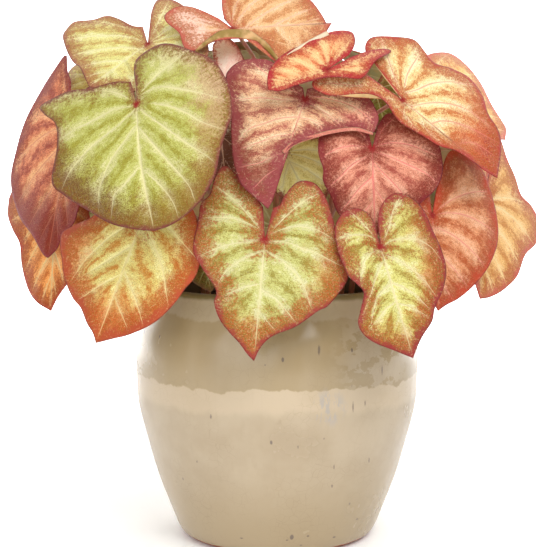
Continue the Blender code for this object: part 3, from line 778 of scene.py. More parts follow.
def blade_finish(name, look):
    """The face of a blade: pale along the veins, deeper between them, freckled, with a solid margin."""
    finish, shader = new_finish(name)
    blade, number, off, vein, middle, margin = blade_places(finish)
    from_heart = place_calc("LENGTH", blade) * MAP_UNIT
    seed = look["seed"]
    fine = noise(blade, 95, 2, 0.7, offset=(seed, 0, 0))
    small = noise(blade, 38, 3, 0.6, offset=(0, seed, 0))
    other = noise(blade, 60, 3, 0.6, offset=(seed, 0, seed))
    mottle = noise(blade, 17, 4, 0.65, offset=(seed, 3, 0))
    patch = noise(blade, 7, 3, 0.55, offset=(seed, seed, 0))
    fan = put("ShaderNodeCombineXYZ", {0: number, 1: from_heart * 0.016, 2: seed})
    grain = fade(fine * 0.55 + small * 0.45, 0.30, 0.70)
    rough = grain - 0.5
    uneven = noise(fan, 9, 4, 0.65) - 0.5
    blotch = patch - 0.5
    spotty = mottle * 0.45 + noise(fan, 4, 4, 0.65, offset=(0, 0, 7)) * 0.8 - 0.625

    # The ground: pale along veins and midrib, deeper between them, and tinted in parts, the dark tint of
    # small_blush being painted shade
    between = smallest(off + uneven * 0.35, middle / 18.0)
    tone = between * 1.5 + spotty * fade(between, 0.0, 0.22, 0.6, 1.9) + rough * 0.45 + look["dark"]
    ground = mix(fade(tone, -0.05, 0.38), look["pale"], look["middle"])
    ground = mix(fade(tone, 0.34, 0.85), ground, look["deep"])
    for angle, start, end, tint_and_shade, strength in look["tints_and_shade"]:
        way = math.radians(angle)
        push = place_calc("DOT_PRODUCT", blade, (math.sin(way) * MAP_UNIT, math.cos(way) * MAP_UNIT, 0))
        push = push + rough * 24.0 + blotch * 50.0
        ground = mix(fade(push, start, end, 0.0, strength), ground, tint_and_shade)

    # The freckles, which crowd towards the margin, keep off the veins and are dark in their middles
    near_edge = fade(margin, look["reach"], 0.0)
    near_vein = largest(fade(vein, 0.0, 2.8, 1.0, 0.0), fade(middle, 0.0, 4.5, 1.0, 0.0))
    density = near_edge * look["crowd"] + look["amount"] + blotch * 0.8 + uneven * 0.7 + spotty * 1.2
    density = smallest(density - near_vein * 0.15, 0.8)
    mark = mix(fade(other, 0.44, 0.58, 0.0, 0.7), look["freckle"], look["deep"])
    colour = mix(fade(density - grain, -0.12, 0.10) * 0.92, ground, mark)
    fleck = fade(fine, 0.48, 0.57) * fade(other, 0.42, 0.58, 0.25, 1.0)
    colour = mix(fleck * (look["dapple"] - near_vein * 0.3), colour, FLECK_SHADE, "MULTIPLY")
    colour = mix(fade(fine, 0.46, 0.38, 0.0, 0.6), colour, ground)

    # The margin: shaded, then solid, and darkest at its very edge
    shade = near_edge * fade(other, 0.38, 0.60, 0.1, look["shade"])
    colour = mix(shade, colour, MARGIN_SHADE, "MULTIPLY")
    rim = margin + blotch * (look["rim"] * 5.0) + rough * (look["rim"] * 1.6)
    colour = mix(fade(rim, look["rim"] * 1.8, 0.0, 0.0, 0.92), colour, look["margin"])
    colour = mix(fade(margin, 1.4, 0.4, 0.0, 0.7) * fade(patch, 0.35, 0.65), colour, EDGE_RED)

    # The veins, thinner towards the margin, and faint slanting lines between them
    width = fade(margin, 0.0, 45.0, 0.30, 1.0)
    line = fade(vein, width * 0.3, width * 1.4, 1.0, 0.0)
    rib = fade(middle, width * 0.5, width * 2.0, 1.0, 0.0)
    lines = largest(line, rib) * fade(margin, 1.0, 10.0)
    chevron = (from_heart - vein * 0.8) / 5.5 + uneven * 2.0 + blotch * 3.0
    chevron = abs(calc("FRACT", chevron) - 0.5)
    chevron = fade(chevron, 0.0, 0.10, 1.0, 0.0) * fade(small, 0.42, 0.6)
    colour = mix(chevron * 0.28, colour, look["pale"])
    colour = mix(lines * 0.62, colour, look["vein"])
    colour = mix(fade(from_heart + rough * 2.0, 1.5, 6.0, 0.9, 0.0), colour, HEART_RED)
    relief = grain * 0.3 - (lines * 0.45 + chevron * 0.15)
    fill(shader, {"Base Color": colour, "Roughness": fade(grain, 0.2, 0.8, 0.44, 0.58),
                  "Specular IOR Level": 0.1, "Normal": bump(relief, 0.7, 0.0012)})
    return finish


def underside_finish(name, look):
    """The back of a blade: duller and paler, with the veins standing out of it."""
    finish, shader = new_finish(name)
    blade, _, _, vein, middle, margin = blade_places(finish)
    grain = noise(blade, 60, 4, 0.7, offset=(look["seed"], 0, 0))
    blotch = noise(blade, 6, 3, 0.6, offset=(0, look["seed"], 0))
    colour = mix(fade(blotch, 0.35, 0.65), look["under"], look["middle"])
    freckle = fade(fade(margin, 26.0, 0.0) + grain - 0.62, 0.0, 0.35, 0.0, 0.55)
    colour = mix(0.35, mix(freckle, colour, look["freckle"]), look["under"])
    lines = largest(fade(vein, 0.3, 1.2, 1.0, 0.0), fade(middle, 0.6, 1.9, 1.0, 0.0))
    colour = mix(lines * 0.5, colour, look["pale"])
    fill(shader, {"Base Color": colour, "Roughness": 0.6, "Specular IOR Level": 0.3,
                  "Normal": bump(lines + grain * 0.15, 0.5, 0.0012)})
    return finish


stalks = stalk_tree()
stalk_skin = stalk_finish()


def grow_leaf(leaf, spokes=SPOKES, rings=RINGS):
    """One leaf: its blade, thickened, and its stalk, joined into one piece that stands for its node."""
    name = leaf["name"]
    look = {**USUAL_LOOK, **KINDS[leaf["slot"]], **leaf}
    sheet = add_piece(name, blade_mesh(leaf, spokes, rings))
    upper = blade_finish(name + " face", look)
    lower = underside_finish(name + " underside", look)
    for skin in (upper, lower, upper):
        sheet.data.materials.append(skin)
    thickness = sheet.modifiers.new("thickness", "SOLIDIFY")
    thickness.thickness = BLADE * MM
    thickness.offset = 0.0
    thickness.material_offset = 1
    data = plain_mesh(sheet, name)
    data.shade_smooth()
    piece = join_pieces([add_piece(name, data), add_piece("stalk", stalk_mesh(leaf))])
    # The few points that lie past the box of all solids, by 1.3 mm at most, are brought back onto it
    places = np.empty(len(piece.data.vertices) * 3)
    piece.data.vertices.foreach_get("co", places)
    piece.data.vertices.foreach_set("co", np.clip(places.reshape(-1, 3), *cad_box).ravel())
    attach(piece, "root")
    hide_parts("leaf_" + name)


# Each leaf as it is seen: depth is its heart's distance behind the pot's axis, turn and rise the way it
# faces, root where its stalk stands, and all other points lie on the sheet
RIM_LEAVES = [
    dict(name="low_centre", slot="leaf_green", seed=1, depth=-168, turn=-2, rise=20, root=(-4, -70),
         pale=(216, 212, 163), middle=(198, 197, 120), deep=(156, 142, 64), freckle=(176, 80, 36),
         margin=(146, 54, 52), vein=(224, 214, 162), rim=3.5, reach=32,
         tints_and_shade=[(0, 56, 108, (198, 120, 50), 0.85), (75, 38, 74, (196, 116, 64), 0.7),
                (-80, 44, 78, (170, 96, 80), 0.6)],
         heart=(-12, 288), tip=(-23, 166),
         right=[(-4, 319), (3, 322), (9, 333), (19, 344), (30, 346), (41, 341), (50, 326), (56, 308),
                (62, 286), (67, 268), (71.5, 251.5), (65, 238), (51, 221), (41, 216), (20, 201), (0, 193),
                (-10, 187), (-18, 177)],
         left=[(-14, 320), (-25, 335), (-38, 350), (-52, 361), (-62, 350), (-67, 333), (-76, 323),
               (-79, 306), (-84, 278), (-75, 259), (-61, 237), (-63, 224), (-57, 207), (-48, 195),
               (-38, 184), (-29, 172)],
         right_veins=[[(-1, 300), (12, 313), (27, 325), (40, 332)],
                      [(-7, 292), (9, 299), (27, 300), (42, 296), (54, 289)],
                      [(-10, 286), (9, 285), (24, 279), (37, 275), (51, 268)],
                      [(-14, 280), (-9, 275), (7, 265), (20, 252), (27, 240), (31, 228)],
                      [(-19, 243), (-15, 237), (-1, 228), (12, 213)], [(-20, 216), (-7, 202)]],
         left_veins=[[(-18, 298), (-27, 309), (-40, 324), (-57, 337)],
                     [(-14, 295), (-27, 303), (-47, 309), (-66, 309)],
                     [(-15, 288), (-33, 285), (-53, 281), (-68, 275)],
                     [(-15, 276), (-33, 269), (-48, 258), (-56, 248), (-60, 237)],
                     [(-19, 242), (-33, 240), (-41, 237)]]),
    dict(name="low_left", slot="leaf_gold", seed=2, depth=-117, turn=-33, rise=20, root=(-52, -48),
         pale=(244, 234, 166), middle=(230, 212, 126), deep=(206, 142, 64), freckle=(188, 80, 36),
         margin=(178, 76, 50), vein=(240, 222, 160), rim=5.5, reach=40,
         tints_and_shade=[(8, 54, 112, (216, 116, 60), 0.9), (95, 36, 72, (190, 106, 54), 0.8),
                (-80, 40, 80, (230, 140, 90), 0.8)],
         heart=(-133, 312), tip=(-181, 184),
         right=[(-124, 335), (-112, 342), (-95, 336), (-84, 318), (-77, 296), (-75, 275), (-81, 252),
                (-92, 238), (-104, 222), (-122, 205), (-146, 193), (-165, 188)],
         left=[(-141, 328), (-155, 332), (-172, 321), (-188, 308), (-204, 301), (-216, 291), (-215, 268),
               (-212, 248), (-204, 229), (-196, 219), (-190, 204), (-184, 194)],
         right_veins=[[(-131, 316), (-120, 326), (-106, 333)],
                      [(-130, 311), (-120, 305), (-108, 298), (-98, 288), (-89, 278)],
                      [(-134, 304), (-129, 295), (-122, 280), (-117, 267), (-113, 251), (-110, 230)],
                      [(-153, 257), (-145, 236), (-140, 223), (-136, 209)], [(-163, 230), (-153, 208)]],
         left_veins=[[(-137, 316), (-150, 322), (-166, 317)],
                     [(-137, 309), (-156, 297), (-168, 289), (-180, 278), (-190, 268), (-202, 251)],
                     [(-148, 280), (-163, 270), (-176, 262)], [(-160, 250), (-174, 243), (-188, 234)]]),
    dict(name="low_right", slot="leaf_gold", seed=3, depth=-165, turn=22, rise=18, root=(40, -62),
         pale=(226, 222, 168), middle=(212, 206, 120), deep=(162, 138, 60), freckle=(170, 68, 38),
         margin=(146, 52, 54), vein=(224, 206, 160), rim=3.5, reach=27, amount=0.04,
         tints_and_shade=[(75, 22, 60, (196, 104, 62), 0.8), (0, 56, 110, (208, 116, 58), 0.8)],
         heart=(103, 281), tip=(136, 169),
         right=[(101, 306), (103, 319), (111, 330), (122, 334), (136, 328), (147, 316), (155, 298),
                (164, 278), (169, 258), (166, 238), (158, 220), (155, 206), (146, 192), (141, 182)],
         left=[(97, 305), (89, 315), (76, 319), (65, 313), (58, 300), (60, 280), (68, 258), (72, 250),
               (80, 243), (87, 234), (84, 218), (81, 204), (86, 193), (98, 184), (116, 177)],
         right_veins=[[(106.7, 285.7), (112, 300), (116, 316), (121, 326)], [(105.6, 281.5), (116, 286.7),
                       (132, 288.3), (142.5, 286.7), (154, 279.4), (161.4, 270)],
                      [(109.8, 272), (124.6, 264.6), (137.2, 255.2), (147.7, 245.7), (156.2, 234)],
                      [(115, 243.6), (126.7, 239.4), (137.2, 233), (147.7, 222.5)],
                      [(120.4, 222.5), (133, 220.4), (143.5, 215.2)]],
         left_veins=[[(100.4, 282.5), (95, 292), (87.7, 300.4), (78.3, 310)],
                     [(101, 284), (93, 290.5), (79.3, 292), (66.7, 290)],
                     [(100.4, 277.3), (92, 272), (86.7, 264.6), (84.6, 252)],
                     [(104.6, 263.6), (99.3, 251), (95, 237.3), (90.9, 225.7)],
                     [(113, 242.5), (105.6, 236.2), (99.3, 229), (97.2, 220.4)],
                     [(117.2, 223.6), (108.8, 218.3), (102.5, 211)]]),
    dict(name="rim_green", slot="leaf_green", seed=4, depth=-112, turn=-14, rise=30, root=(-26, -58),
         pale=(158, 156, 90), middle=(130, 128, 62), deep=(96, 98, 39), freckle=(140, 100, 53),
         margin=(110, 84, 52), rim=2,
         heart=(-74, 275), tip=(-66, 235),
         right=[(-70, 286), (-60, 288), (-52, 278), (-51, 262), (-57, 247)],
         left=[(-78, 286), (-90, 286), (-99, 273), (-94, 256), (-81, 243)]),
]
for entry in RIM_LEAVES:
    grow_leaf(front_leaf(entry))

# The leaves of the middle tier
# Older blades a storey higher, facing outwards all round the front: green, rose and coral ones of the same
# plant, more deeply coloured where more light reaches them.
MIDDLE_LEAVES = [
    dict(name="broad_green", slot="leaf_green", seed=5, depth=-128, turn=-32, rise=22, root=(-38, -34),
         bow=-4, pale=(216, 211, 152), middle=(192, 192, 106), deep=(162, 156, 62), freckle=(138, 80, 40),
         margin=(124, 64, 58), vein=(222, 212, 162), rim=2.6, reach=22, shade=0.35, crowd=0.6,
         tints_and_shade=[(112, 36, 80, (232, 206, 172), 0.75), (80, 52, 84, (184, 136, 98), 0.6),
                (-52, 58, 96, (116, 72, 44), 0.9), (14, 74, 122, (138, 98, 38), 0.75)],
         heart=(-140, 423), tip=(-123, 296),
         right=[(-141.5, 446), (-143, 458), (-139, 469), (-121, 481), (-106, 483), (-84, 476), (-63, 466),
                (-49, 443), (-45, 414), (-50, 398), (-57, 376), (-62, 352), (-76, 327), (-92, 311),
                (-108, 301)],
         left=[(-146, 445), (-162, 445), (-185, 439), (-207, 436), (-225, 428), (-237, 420), (-232, 412),
               (-221, 402), (-220, 378), (-225, 345), (-212, 331), (-190, 317), (-168, 304), (-145, 298)],
         right_veins=[[(-134, 436), (-127, 444), (-115, 455), (-102, 465), (-93, 473)],
                      [(-135, 433), (-125, 438), (-112, 440), (-97, 438), (-71, 432), (-56, 426)],
                      [(-122, 423), (-107, 421), (-90, 414), (-76, 405), (-61, 398)], [(-136, 417),
                       (-122, 407), (-109, 398), (-93, 386), (-78, 375), (-66, 365), (-62, 357)],
                      [(-137.5, 400), (-122, 382), (-108, 365), (-97, 352), (-88, 339), (-83, 325)],
                      [(-135, 358), (-122, 347), (-112, 336), (-103, 322), (-100, 313)]],
         left_veins=[[(-150, 429), (-158, 433), (-173, 436), (-188, 435), (-205, 433), (-231, 423)],
                     [(-145, 421), (-166, 416), (-186, 405), (-201, 398), (-213, 390)],
                     [(-143, 416), (-160, 400), (-180, 385), (-195, 370), (-208, 354), (-214, 343)],
                     [(-143, 399), (-155, 382), (-166, 366), (-173, 350), (-178, 336), (-179, 313)],
                     [(-139, 357), (-154, 340), (-163, 333), (-166, 321)]]),
    dict(name="centre_rose", slot="leaf_rose", seed=6, depth=-115, turn=4, rise=28, root=(14, -34),
         rise_share=0.72, arrive=(0.05, -1, 0.1), pale=(246, 220, 180), middle=(232, 182, 142),
         deep=(178, 100, 84), freckle=(146, 56, 56), margin=(144, 66, 68), vein=(234, 140, 130), rim=7,
         reach=24, amount=0, shade=0.6, under=(214, 204, 158),
         tints_and_shade=[(0, 44, 92, (138, 68, 54), 0.9), (75, 20, 56, (232, 146, 128), 0.6)],
         heart=(28, 428), tip=(-9, 318),
         right=[(30, 438), (48, 441), (68, 438), (90, 431), (101, 412), (100, 401), (94, 393), (78, 397),
                (58, 395), (38, 390), (18, 383), (8, 374), (3, 352), (-4, 328)],
         left=[(26, 439), (10, 450), (-3, 464), (-20, 468), (-38, 465), (-51, 452), (-48, 434),
               (-46, 412), (-46, 392), (-44, 368), (-38, 346), (-26, 333)],
         right_veins=[[(31.4, 430), (48.3, 428.3), (67.2, 423.6), (79.8, 417.8), (90.4, 409.4)],
                      [(30.4, 425.2), (42, 417.8), (51.4, 411.5), (62, 403), (63, 397.8)],
                      [(19.8, 409.4), (32.5, 407.3), (43, 402), (45, 396.7)],
                      [(16.7, 400), (23, 395.7), (27.2, 390.4)]],
         left_veins=[[(25, 431.5), (16.7, 435.7), (8.3, 438.8), (-20, 460)],
                     [(26, 427), (6, 427), (-15, 429), (-31, 428), (-44, 426)],
                     [(18.8, 410), (1.9, 408.3), (-15, 402.5), (-27.5, 397.8), (-39.6, 383)],
                     [(12.5, 392.5), (-2.3, 390.4), (-12.8, 386.2), (-22.3, 383)],
                     [(6.2, 374.6), (-6.5, 369.4), (-17, 364), (-25.4, 362)],
                     [(-0.2, 357.8), (-10.7, 351.5), (-17, 345.2)]],
         rolls=[([(96, 392), (78, 396), (58, 394), (38, 389), (18, 382), (8, 373)],
                 [(96, 394), (79, 399.5), (58, 397.5), (37, 392.5), (16, 385.5), (5, 376)], 1, 0.6)]),
    dict(name="mid_rose", slot="leaf_rose", seed=7, depth=-116, turn=14, rise=12, root=(34, -52),
         pale=(238, 178, 152), middle=(216, 142, 116), deep=(168, 84, 70), freckle=(134, 48, 37),
         margin=(126, 42, 44), vein=(226, 112, 110), rim=4, shade=0.6,
         tints_and_shade=[(180, 8, 34, (160, 86, 62), 0.65)],
         heart=(95, 379), tip=(98, 292),
         right=[(101, 402), (110, 413), (128, 411), (146, 400), (160, 386), (165, 368), (165, 352),
                (158, 337), (146, 326), (130, 312), (112, 300)],
         left=[(91, 398), (78, 407), (58, 407), (44, 396), (41, 376), (46, 358), (46, 346), (54, 330),
               (62, 312), (78, 299)],
         right_veins=[[(99, 386), (106, 398), (116, 408)],
                      [(96, 380), (113, 384), (132, 382), (152, 374)],
                      [(95, 376), (113, 370), (131, 362), (148, 354), (160, 344)],
                      [(94, 367), (105, 355), (118, 342), (134, 322)],
                      [(96, 340), (106, 326), (116, 310)]],
         left_veins=[[(91, 384), (82, 395), (70, 402)], [(90, 380), (74, 381), (60, 378), (46, 370)],
                     [(89, 370), (75, 362), (63, 350), (52, 340)], [(95, 350), (82, 338), (68, 320)],
                     [(96, 326), (88, 316), (80, 304)]]),
    dict(name="right_coral", slot="leaf_coral", seed=8, depth=-100, turn=38, rise=14, root=(62, -42),
         pale=(240, 186, 150), middle=(224, 154, 110), deep=(186, 98, 58), freckle=(174, 78, 44),
         margin=(182, 68, 44), vein=(226, 130, 118), rim=6,
         heart=(155, 312), tip=(161, 216),
         right=[(159, 335), (164, 354), (172, 375), (186, 375), (203, 360), (213, 337), (220, 308),
                (220, 283), (211, 260), (198, 243), (182, 229), (169, 222)],
         left=[(152, 334), (145, 328), (139, 314), (137, 292), (140, 268), (146, 250), (153, 232)]),
    dict(name="far_right", slot="leaf_gold", seed=9, depth=-8, turn=50, rise=16, root=(74, -10),
         pale=(246, 210, 152), middle=(236, 186, 117), deep=(204, 136, 69), freckle=(188, 92, 56),
         margin=(190, 86, 70), rim=4,
         heart=(207, 325), tip=(203, 228),
         right=[(213, 360), (217, 378), (222, 390), (230, 368), (238, 350), (244, 332), (255, 320),
                (262, 303), (259, 284), (248, 272), (240, 251), (226, 237), (213, 230)],
         left=[(212.5, 361), (203, 368), (192, 352), (187, 328), (186, 300), (190, 272), (197, 247)]),
    dict(name="left_crimson", slot="leaf_rose", seed=10, depth=-26, turn=-50, rise=12, root=(-58, -8),
         pale=(242, 184, 130), middle=(220, 130, 88), deep=(162, 68, 46), freckle=(146, 54, 36),
         margin=(134, 46, 46), vein=(206, 120, 96), rim=4,
         tints_and_shade=[(0, 44, 96, (136, 50, 40), 0.95)],
         heart=(-207, 400), tip=(-229, 269),
         right=[(-200, 425), (-188, 440), (-174, 432), (-168, 405), (-171, 375), (-182, 345), (-197, 322),
                (-203, 304), (-215, 290), (-220, 278)],
         left=[(-207, 432), (-206, 445), (-210, 458), (-211, 472), (-222, 458), (-237, 434), (-252, 405),
               (-261, 375), (-266, 345), (-258, 312), (-244, 291), (-234, 273)]),
    dict(name="far_left", slot="leaf_gold", seed=11, depth=4, turn=-44, rise=16, root=(-74, 8),
         pale=(255, 206, 140), middle=(248, 168, 92), deep=(206, 112, 54), freckle=(168, 76, 44),
         margin=(172, 70, 50), rim=4,
         heart=(-222, 318), tip=(-226, 216),
         right=[(-214, 335), (-202, 337), (-190, 322), (-187, 297), (-195, 268), (-208, 246), (-219, 230)],
         left=[(-232, 338), (-246, 346), (-260, 342), (-268, 328), (-269, 312), (-264, 297), (-257, 283),
               (-255, 262), (-249, 239), (-240, 225)]),
    # Its paint is lighter than the leaf's own, painted light for the shade it lies in, and its dark tint
    # towards the tip is painted shade
    dict(name="small_blush", slot="leaf_coral", seed=12, depth=-68, turn=-8, rise=18, root=(-16, -26),
         pale=(255, 242, 234), middle=(255, 234, 222), deep=(252, 216, 202), freckle=(220, 130, 120),
         margin=(190, 100, 92), vein=(250, 206, 186), rim=2, reach=12, amount=-0.15, shade=0, dapple=0.2,
         tints_and_shade=[(0, 5, 34, (108, 52, 38), 0.95)],
         heart=(-60, 428), tip=(-50, 334),
         right=[(-58, 448), (-62, 466), (-64, 482), (-53, 489), (-42, 484), (-34, 470), (-28, 450),
                (-26, 425), (-29, 398), (-36, 366)],
         left=[(-64, 446), (-74, 458), (-88, 454), (-94, 436), (-93, 410), (-85, 382), (-69, 354)]),
    # Its paint is lighter than the leaf's own: painted light for the shade it lies in
    dict(name="inner_green", slot="leaf_green", seed=13, depth=-84, turn=4, rise=18, root=(4, -16),
         pale=(252, 248, 196), middle=(248, 238, 160), deep=(222, 206, 122), freckle=(160, 92, 58),
         margin=(140, 60, 56), rim=3, amount=-0.2, shade=0.1, dapple=0.3, reach=16,
         heart=(8, 374), tip=(40, 310),
         right=[(13, 386), (26, 393), (42, 388), (52, 372), (55, 354), (50, 332)],
         left=[(2, 386), (-12, 389), (-24, 380), (-27, 364), (-16, 346), (4, 330), (22, 318)]),
    dict(name="side_pale", slot="leaf_gold", seed=14, depth=10, turn=-42, rise=40, root=(-46, 14),
         pale=(244, 240, 152), middle=(238, 230, 122), deep=(222, 208, 92), freckle=(190, 120, 67),
         margin=(160, 92, 66), rim=2.5, under=(232, 222, 132),
         heart=(-178, 444), tip=(-204, 411),
         right=[(-174, 454), (-168, 461), (-160, 455), (-160, 440), (-170, 424), (-187, 414)],
         left=[(-183, 455), (-192, 464), (-205, 459), (-212, 445), (-214, 430), (-211, 418)]),
    dict(name="inner_olive", slot="leaf_green", seed=15, depth=-14, turn=12, rise=14, root=(44, 0),
         pale=(168, 168, 95), middle=(150, 150, 72), deep=(120, 118, 48), freckle=(150, 92, 53),
         margin=(130, 60, 50), rim=2.5,
         heart=(98, 436), tip=(112, 388),
         right=[(101, 446), (108, 455), (121, 456), (131, 442), (132, 422), (124, 402)],
         left=[(94, 448), (84, 455), (73, 450), (69, 434), (76, 416), (92, 398)]),
]
for entry in MIDDLE_LEAVES:
    grow_leaf(front_leaf(entry))

# The leaves of the crown
# The youngest blades, on the longest stalks, lie flatter on top of the plant. Some still have a rolled
# margin, which shows the pale underside.
CROWN_LEAVES = [
    dict(name="crown_curled", slot="leaf_rose", seed=16, depth=-138, turn=6, rise=34, root=(28, -16),
         rise_share=0.72, arrive=(0.1, -1, -0.05), pale=(248, 212, 152), middle=(240, 182, 126),
         deep=(214, 118, 74), freckle=(178, 44, 40), margin=(168, 42, 50), vein=(228, 184, 136), rim=3.6,
         under=(214, 204, 180), reach=18, amount=0,
         heart=(50, 457), tip=(-9, 437),
         right=[(74, 470), (92, 476), (107, 478), (114, 475), (99, 466), (89, 452), (82, 448), (70, 449),
                (52, 450), (38, 447), (20, 442), (4, 436)],
         left=[(72, 472), (77, 480), (78, 488), (74, 495), (60, 496), (45, 492), (30, 484), (14, 477),
               (2, 469), (-7, 458), (-10, 446)],
         rolls=[([(13, 474), (22, 477), (32, 482), (42, 487), (52, 492)],
                 [(10, 472), (21, 480), (31, 486), (40, 491), (50, 496)], 1.5, 1)]),
    dict(name="high_right", slot="leaf_gold", seed=17, depth=-108, turn=34, rise=34, root=(46, -22),
         rise_share=0.72, arrive=(0.3, -0.9, 0.1), pale=(250, 238, 192), middle=(242, 214, 150),
         deep=(206, 130, 70), freckle=(194, 92, 55), margin=(176, 62, 56), vein=(220, 128, 112), rim=3,
         amount=0,
         tints_and_shade=[(0, 24, 84, (204, 94, 56), 0.9), (0, 66, 112, (164, 46, 48), 0.97)],
         heart=(125, 427), tip=(220, 349),
         right=[(97, 464), (89, 474), (89, 484), (97, 490), (118, 490), (137, 487), (147, 476),
                (157, 464), (175, 458), (192, 449), (205, 432), (211, 413), (221, 397), (224, 380),
                (222, 362)],
         left=[(90, 452), (72, 455), (52, 454), (36, 446), (38, 438), (56, 431), (80, 433), (98, 432),
               (110, 423), (120, 408), (132, 399), (148, 390), (163, 381), (184, 374), (204, 359)],
         right_veins=[[(122, 440), (118, 448), (114, 460), (108, 476)],
                      [(127, 440), (131, 454), (140, 469)],
                      [(129, 434), (140, 437), (154, 443), (172, 445), (186, 443)],
                      [(130, 421), (135, 421), (154, 424), (172, 423), (190, 417), (207, 405)],
                      [(150, 402), (168, 406), (190, 400), (214, 388)],
                      [(176, 381), (196, 384), (216, 372)]],
         left_veins=[[(118, 430), (109, 435), (95, 440), (77, 441), (48, 444)],
                     [(125, 426), (118, 426), (110, 424)],
                     [(129, 421), (128, 414), (132, 405), (138, 398)],
                     [(148, 402), (150, 396), (160, 386)], [(172, 384), (178, 380), (190, 371)]]),
    dict(name="behind_high_right", slot="leaf_gold", seed=18, depth=-34, turn=55, rise=40, root=(62, 10),
         pale=(250, 216, 140), middle=(242, 190, 106), deep=(222, 148, 70), freckle=(206, 108, 62),
         margin=(206, 98, 80), rim=4,
         heart=(160, 432), tip=(228, 387),
         right=[(148, 455), (148, 469), (158, 474), (174, 473), (190, 461), (204, 443), (214, 423),
                (224, 407), (229, 398)],
         left=[(150, 446), (144, 436), (147, 420), (165, 405), (190, 394), (212, 389)]),
    dict(name="high_left", slot="leaf_gold", seed=19, depth=-34, turn=-30, rise=42, root=(-34, -10),
         pale=(244, 238, 178), middle=(232, 224, 140), deep=(206, 172, 95), freckle=(178, 104, 67),
         margin=(160, 90, 72), vein=(234, 222, 172), rim=3, amount=0,
         heart=(-129, 483), tip=(-188, 440),
         right=[(-127, 502), (-125, 516), (-119, 527), (-105, 527), (-90, 518), (-76, 498), (-68, 477),
                (-76, 462), (-95, 448), (-120, 438), (-150, 435), (-172, 437)],
         left=[(-134, 500), (-144, 501), (-158, 508), (-170, 511), (-184, 507), (-202, 505), (-210, 498),
               (-214, 490), (-210, 476), (-204, 465), (-197, 459), (-192, 449)]),
    dict(name="crown_peach", slot="leaf_coral", seed=20, depth=-62, turn=4, rise=46, root=(0, 0),
         rise_share=0.8, arrive=(-0.3, -0.9, 0.3), pale=(244, 208, 168), middle=(236, 186, 134),
         deep=(204, 138, 86), freckle=(194, 104, 67), margin=(192, 92, 76), vein=(230, 172, 148), rim=3.5,
         amount=0, under=(146, 118, 56), dark=0.06,
         tints_and_shade=[(180, 8, 36, (255, 214, 194), 0.9)],
         heart=(-44, 498), tip=(55, 504),
         right=[(-53, 508), (-55, 520), (-53, 535), (-38, 544), (-18, 547), (4, 544), (22, 536),
                (36, 524), (46, 510), (50, 503)],
         left=[(-58, 508), (-72, 515), (-86, 520), (-100, 520), (-112, 512), (-110, 504), (-98, 494),
               (-93, 480), (-82, 476), (-64, 485), (-46, 488), (-26, 487), (-10, 476), (2, 463),
               (20, 468), (40, 482)],
         rolls=[([(-82, 474), (-71, 481), (-59, 487), (-48, 488), (-36, 488), (-21, 486), (-12, 478),
                  (1, 465)],
                 [(-81, 477), (-74, 484), (-65, 491), (-53, 497), (-30, 497), (-19, 491), (-9, 483),
                  (1, 469)], 3, 2)]),
]
for entry in CROWN_LEAVES:
    grow_leaf(front_leaf(entry))

# The leaves of the sides and the back
# More of the same plant's blades, which close the dome of foliage all round. They hang in rings, each ring
# higher and further in than the one below.
BACK_RINGS = [
    dict(name="back_low", first=138, last=223, count=3, out=(184, 198), up=(300, 301), rise=17, length=128,
         width=150, root=78, slots=("leaf_gold", "leaf_green", "leaf_coral")),
    dict(name="side_low", first=-70, last=-70, count=1, out=(146,), up=(308,), rise=20, length=76, width=96,
         root=72, slots=("leaf_coral",)),
    dict(name="back_mid", first=114, last=242, count=4, out=(177, 198), up=(374, 368), rise=24, length=132,
         width=146, root=56, slots=("leaf_coral", "leaf_gold", "leaf_rose", "leaf_green")),
    dict(name="back_high", first=122, last=238, count=3, out=(92, 84), up=(469, 480), rise=64, length=110,
         width=130, root=32, slots=("leaf_gold", "leaf_coral", "leaf_green")),
]
BACK_SEED = 6
BACK_SPOKES = 54
BACK_MESH_RINGS = 26
HEIGHT_SPREAD = 3.0
TURN_SPREAD = 4.0
SWING_SPREAD = 8.0
SIZE_SPREAD = 0.05
HEART_SHAPE = [(0.06, -0.22), (0.14, -0.35), (0.34, -0.43), (0.62, -0.40), (0.86, -0.24), (1.0, 0.02),
               (0.98, 0.26), (0.83, 0.50), (0.55, 0.72), (0.24, 0.88)]


def back_leaf(ring, number, draw):
    """One leaf of a ring, with small seeded differences from its neighbours."""
    turn = ring["first"] + (ring["last"] - ring["first"]) * number / max(ring["count"] - 1, 1)
    way = facing(turn, 0)
    out = ring["out"][number % len(ring["out"])]
    up = ring["up"][number % len(ring["up"])] + draw.uniform(-HEIGHT_SPREAD, HEIGHT_SPREAD)
    size = 1 + draw.uniform(-SIZE_SPREAD, SIZE_SPREAD)
    normal = facing(turn + draw.uniform(-TURN_SPREAD, TURN_SPREAD), ring["rise"])
    down = unit(np.array([0.0, 0.0, -1.0]) + normal * normal[2])
    swing = math.radians(draw.uniform(-SWING_SPREAD, SWING_SPREAD))
    # The solids' rule draws one more number for each leaf, and the two have to keep step
    draw.choice(range(4))
    along = unit(down + np.cross(normal, down) * math.tan(swing))
    half = [(u * ring["width"] / 2 * size, v * ring["length"] * size) for u, v in HEART_SHAPE]
    tip = [(0.0, ring["length"] * size)]
    return dict(name=f"{ring['name']}_{number + 1}", slot=ring["slots"][number], normal=normal,
                seed=30 + 7 * number + ring["rise"], heart=way * out + np.array([0.0, 0.0, up]), along=along,
                across=np.cross(normal, along), root=tuple(way[:2] * ring["root"]), right=half + tip,
                left=[(-u, v) for u, v in half] + tip, seen=False)


draw = random.Random(BACK_SEED)
for ring in BACK_RINGS:
    for number in range(ring["count"]):
        grow_leaf(back_leaf(ring, number, draw), BACK_SPOKES, BACK_MESH_RINGS)

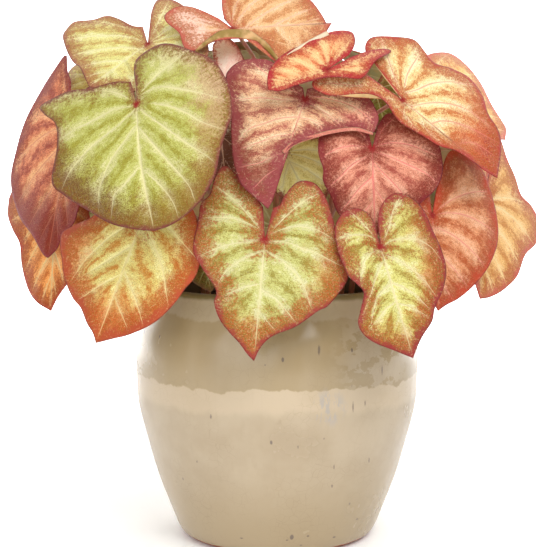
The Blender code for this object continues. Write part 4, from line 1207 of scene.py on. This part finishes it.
# Floor, light and camera
# A white paper floor that runs up behind and is lit there from within, large soft lights, and a camera a
# little above the pot's lip.
FLOOR_NEAR = -3.0
FLOOR_FAR = 2.0
FLOOR_RISE = 3.4
FLOOR_HALF = 4.0
CURVE = 0.8
WHITE = (1, 1, 1, 1)
PAPER_WHITE = (0.95, 0.95, 0.95, 1)
# Lights: name, place and aim in metres, width and height, and watts
LIGHTS = [("key", (0.7, -1.5, 1.9), (0, 0, 0.3), (1.5, 1.5), 39),
          ("fill", (-0.9, -2.0, 0.9), (0, 0, 0.35), (2.0, 1.6), 21),
          ("top", (0.0, 0.3, 2.2), (0, 0, 0.3), (1.6, 1.6), 9)]
ROOM_LIGHT = 0.26
LENS = 82.3
SENSOR_WIDTH = 36

rows = [(FLOOR_NEAR, 0.0)] + [(FLOOR_FAR + math.sin(a) * CURVE, CURVE - math.cos(a) * CURVE)
                              for a in np.linspace(0, math.pi / 2, 24)] + [(FLOOR_FAR + CURVE, FLOOR_RISE)]
sheet = bmesh.new()
lines = [[sheet.verts.new((x, y, z)) for x in (-FLOOR_HALF, FLOOR_HALF)] for y, z in rows]
for near, far in zip(lines[:-1], lines[1:]):
    sheet.faces.new((near[0], near[1], far[1], far[0]))
floor = add_piece("floor", finished_mesh("paper", sheet))
paper, shader = new_finish("white paper")
across, behind, _ = apart(place_on(paper))
glow = fade(behind, 0.3, 1.6) * fade(abs(across), 0.45, 1.1, 0.8, 2.8) + 0.08
fill(shader, {"Base Color": PAPER_WHITE, "Roughness": 0.8, "Emission Color": WHITE,
              "Emission Strength": glow})
floor.data.materials.append(paper)

for name, place, target, size, energy in LIGHTS:
    light = bpy.data.lights.new(name, "AREA")
    light.shape = "RECTANGLE"
    light.size, light.size_y = size
    light.energy = energy
    lamp = add_piece(name, light)
    lamp.location = place
    lamp.rotation_euler = Vector(np.subtract(target, place)).to_track_quat("-Z", "Y").to_euler()
world = bpy.data.worlds.new("studio")
bpy.context.scene.world = world
world.use_nodes = True
fill(world.node_tree.nodes["Background"], {"Color": WHITE, "Strength": ROOM_LIGHT})

camera = bpy.data.cameras.new("camera")
camera.lens = LENS
camera.sensor_width = SENSOR_WIDTH
viewpoint = add_piece("camera", camera)
viewpoint.location = tuple(EYE * MM)
viewpoint.rotation_euler = (math.pi / 2 - PITCH, 0, 0)
bpy.context.scene.camera = viewpoint
bpy.context.scene.view_settings.view_transform = "Standard"
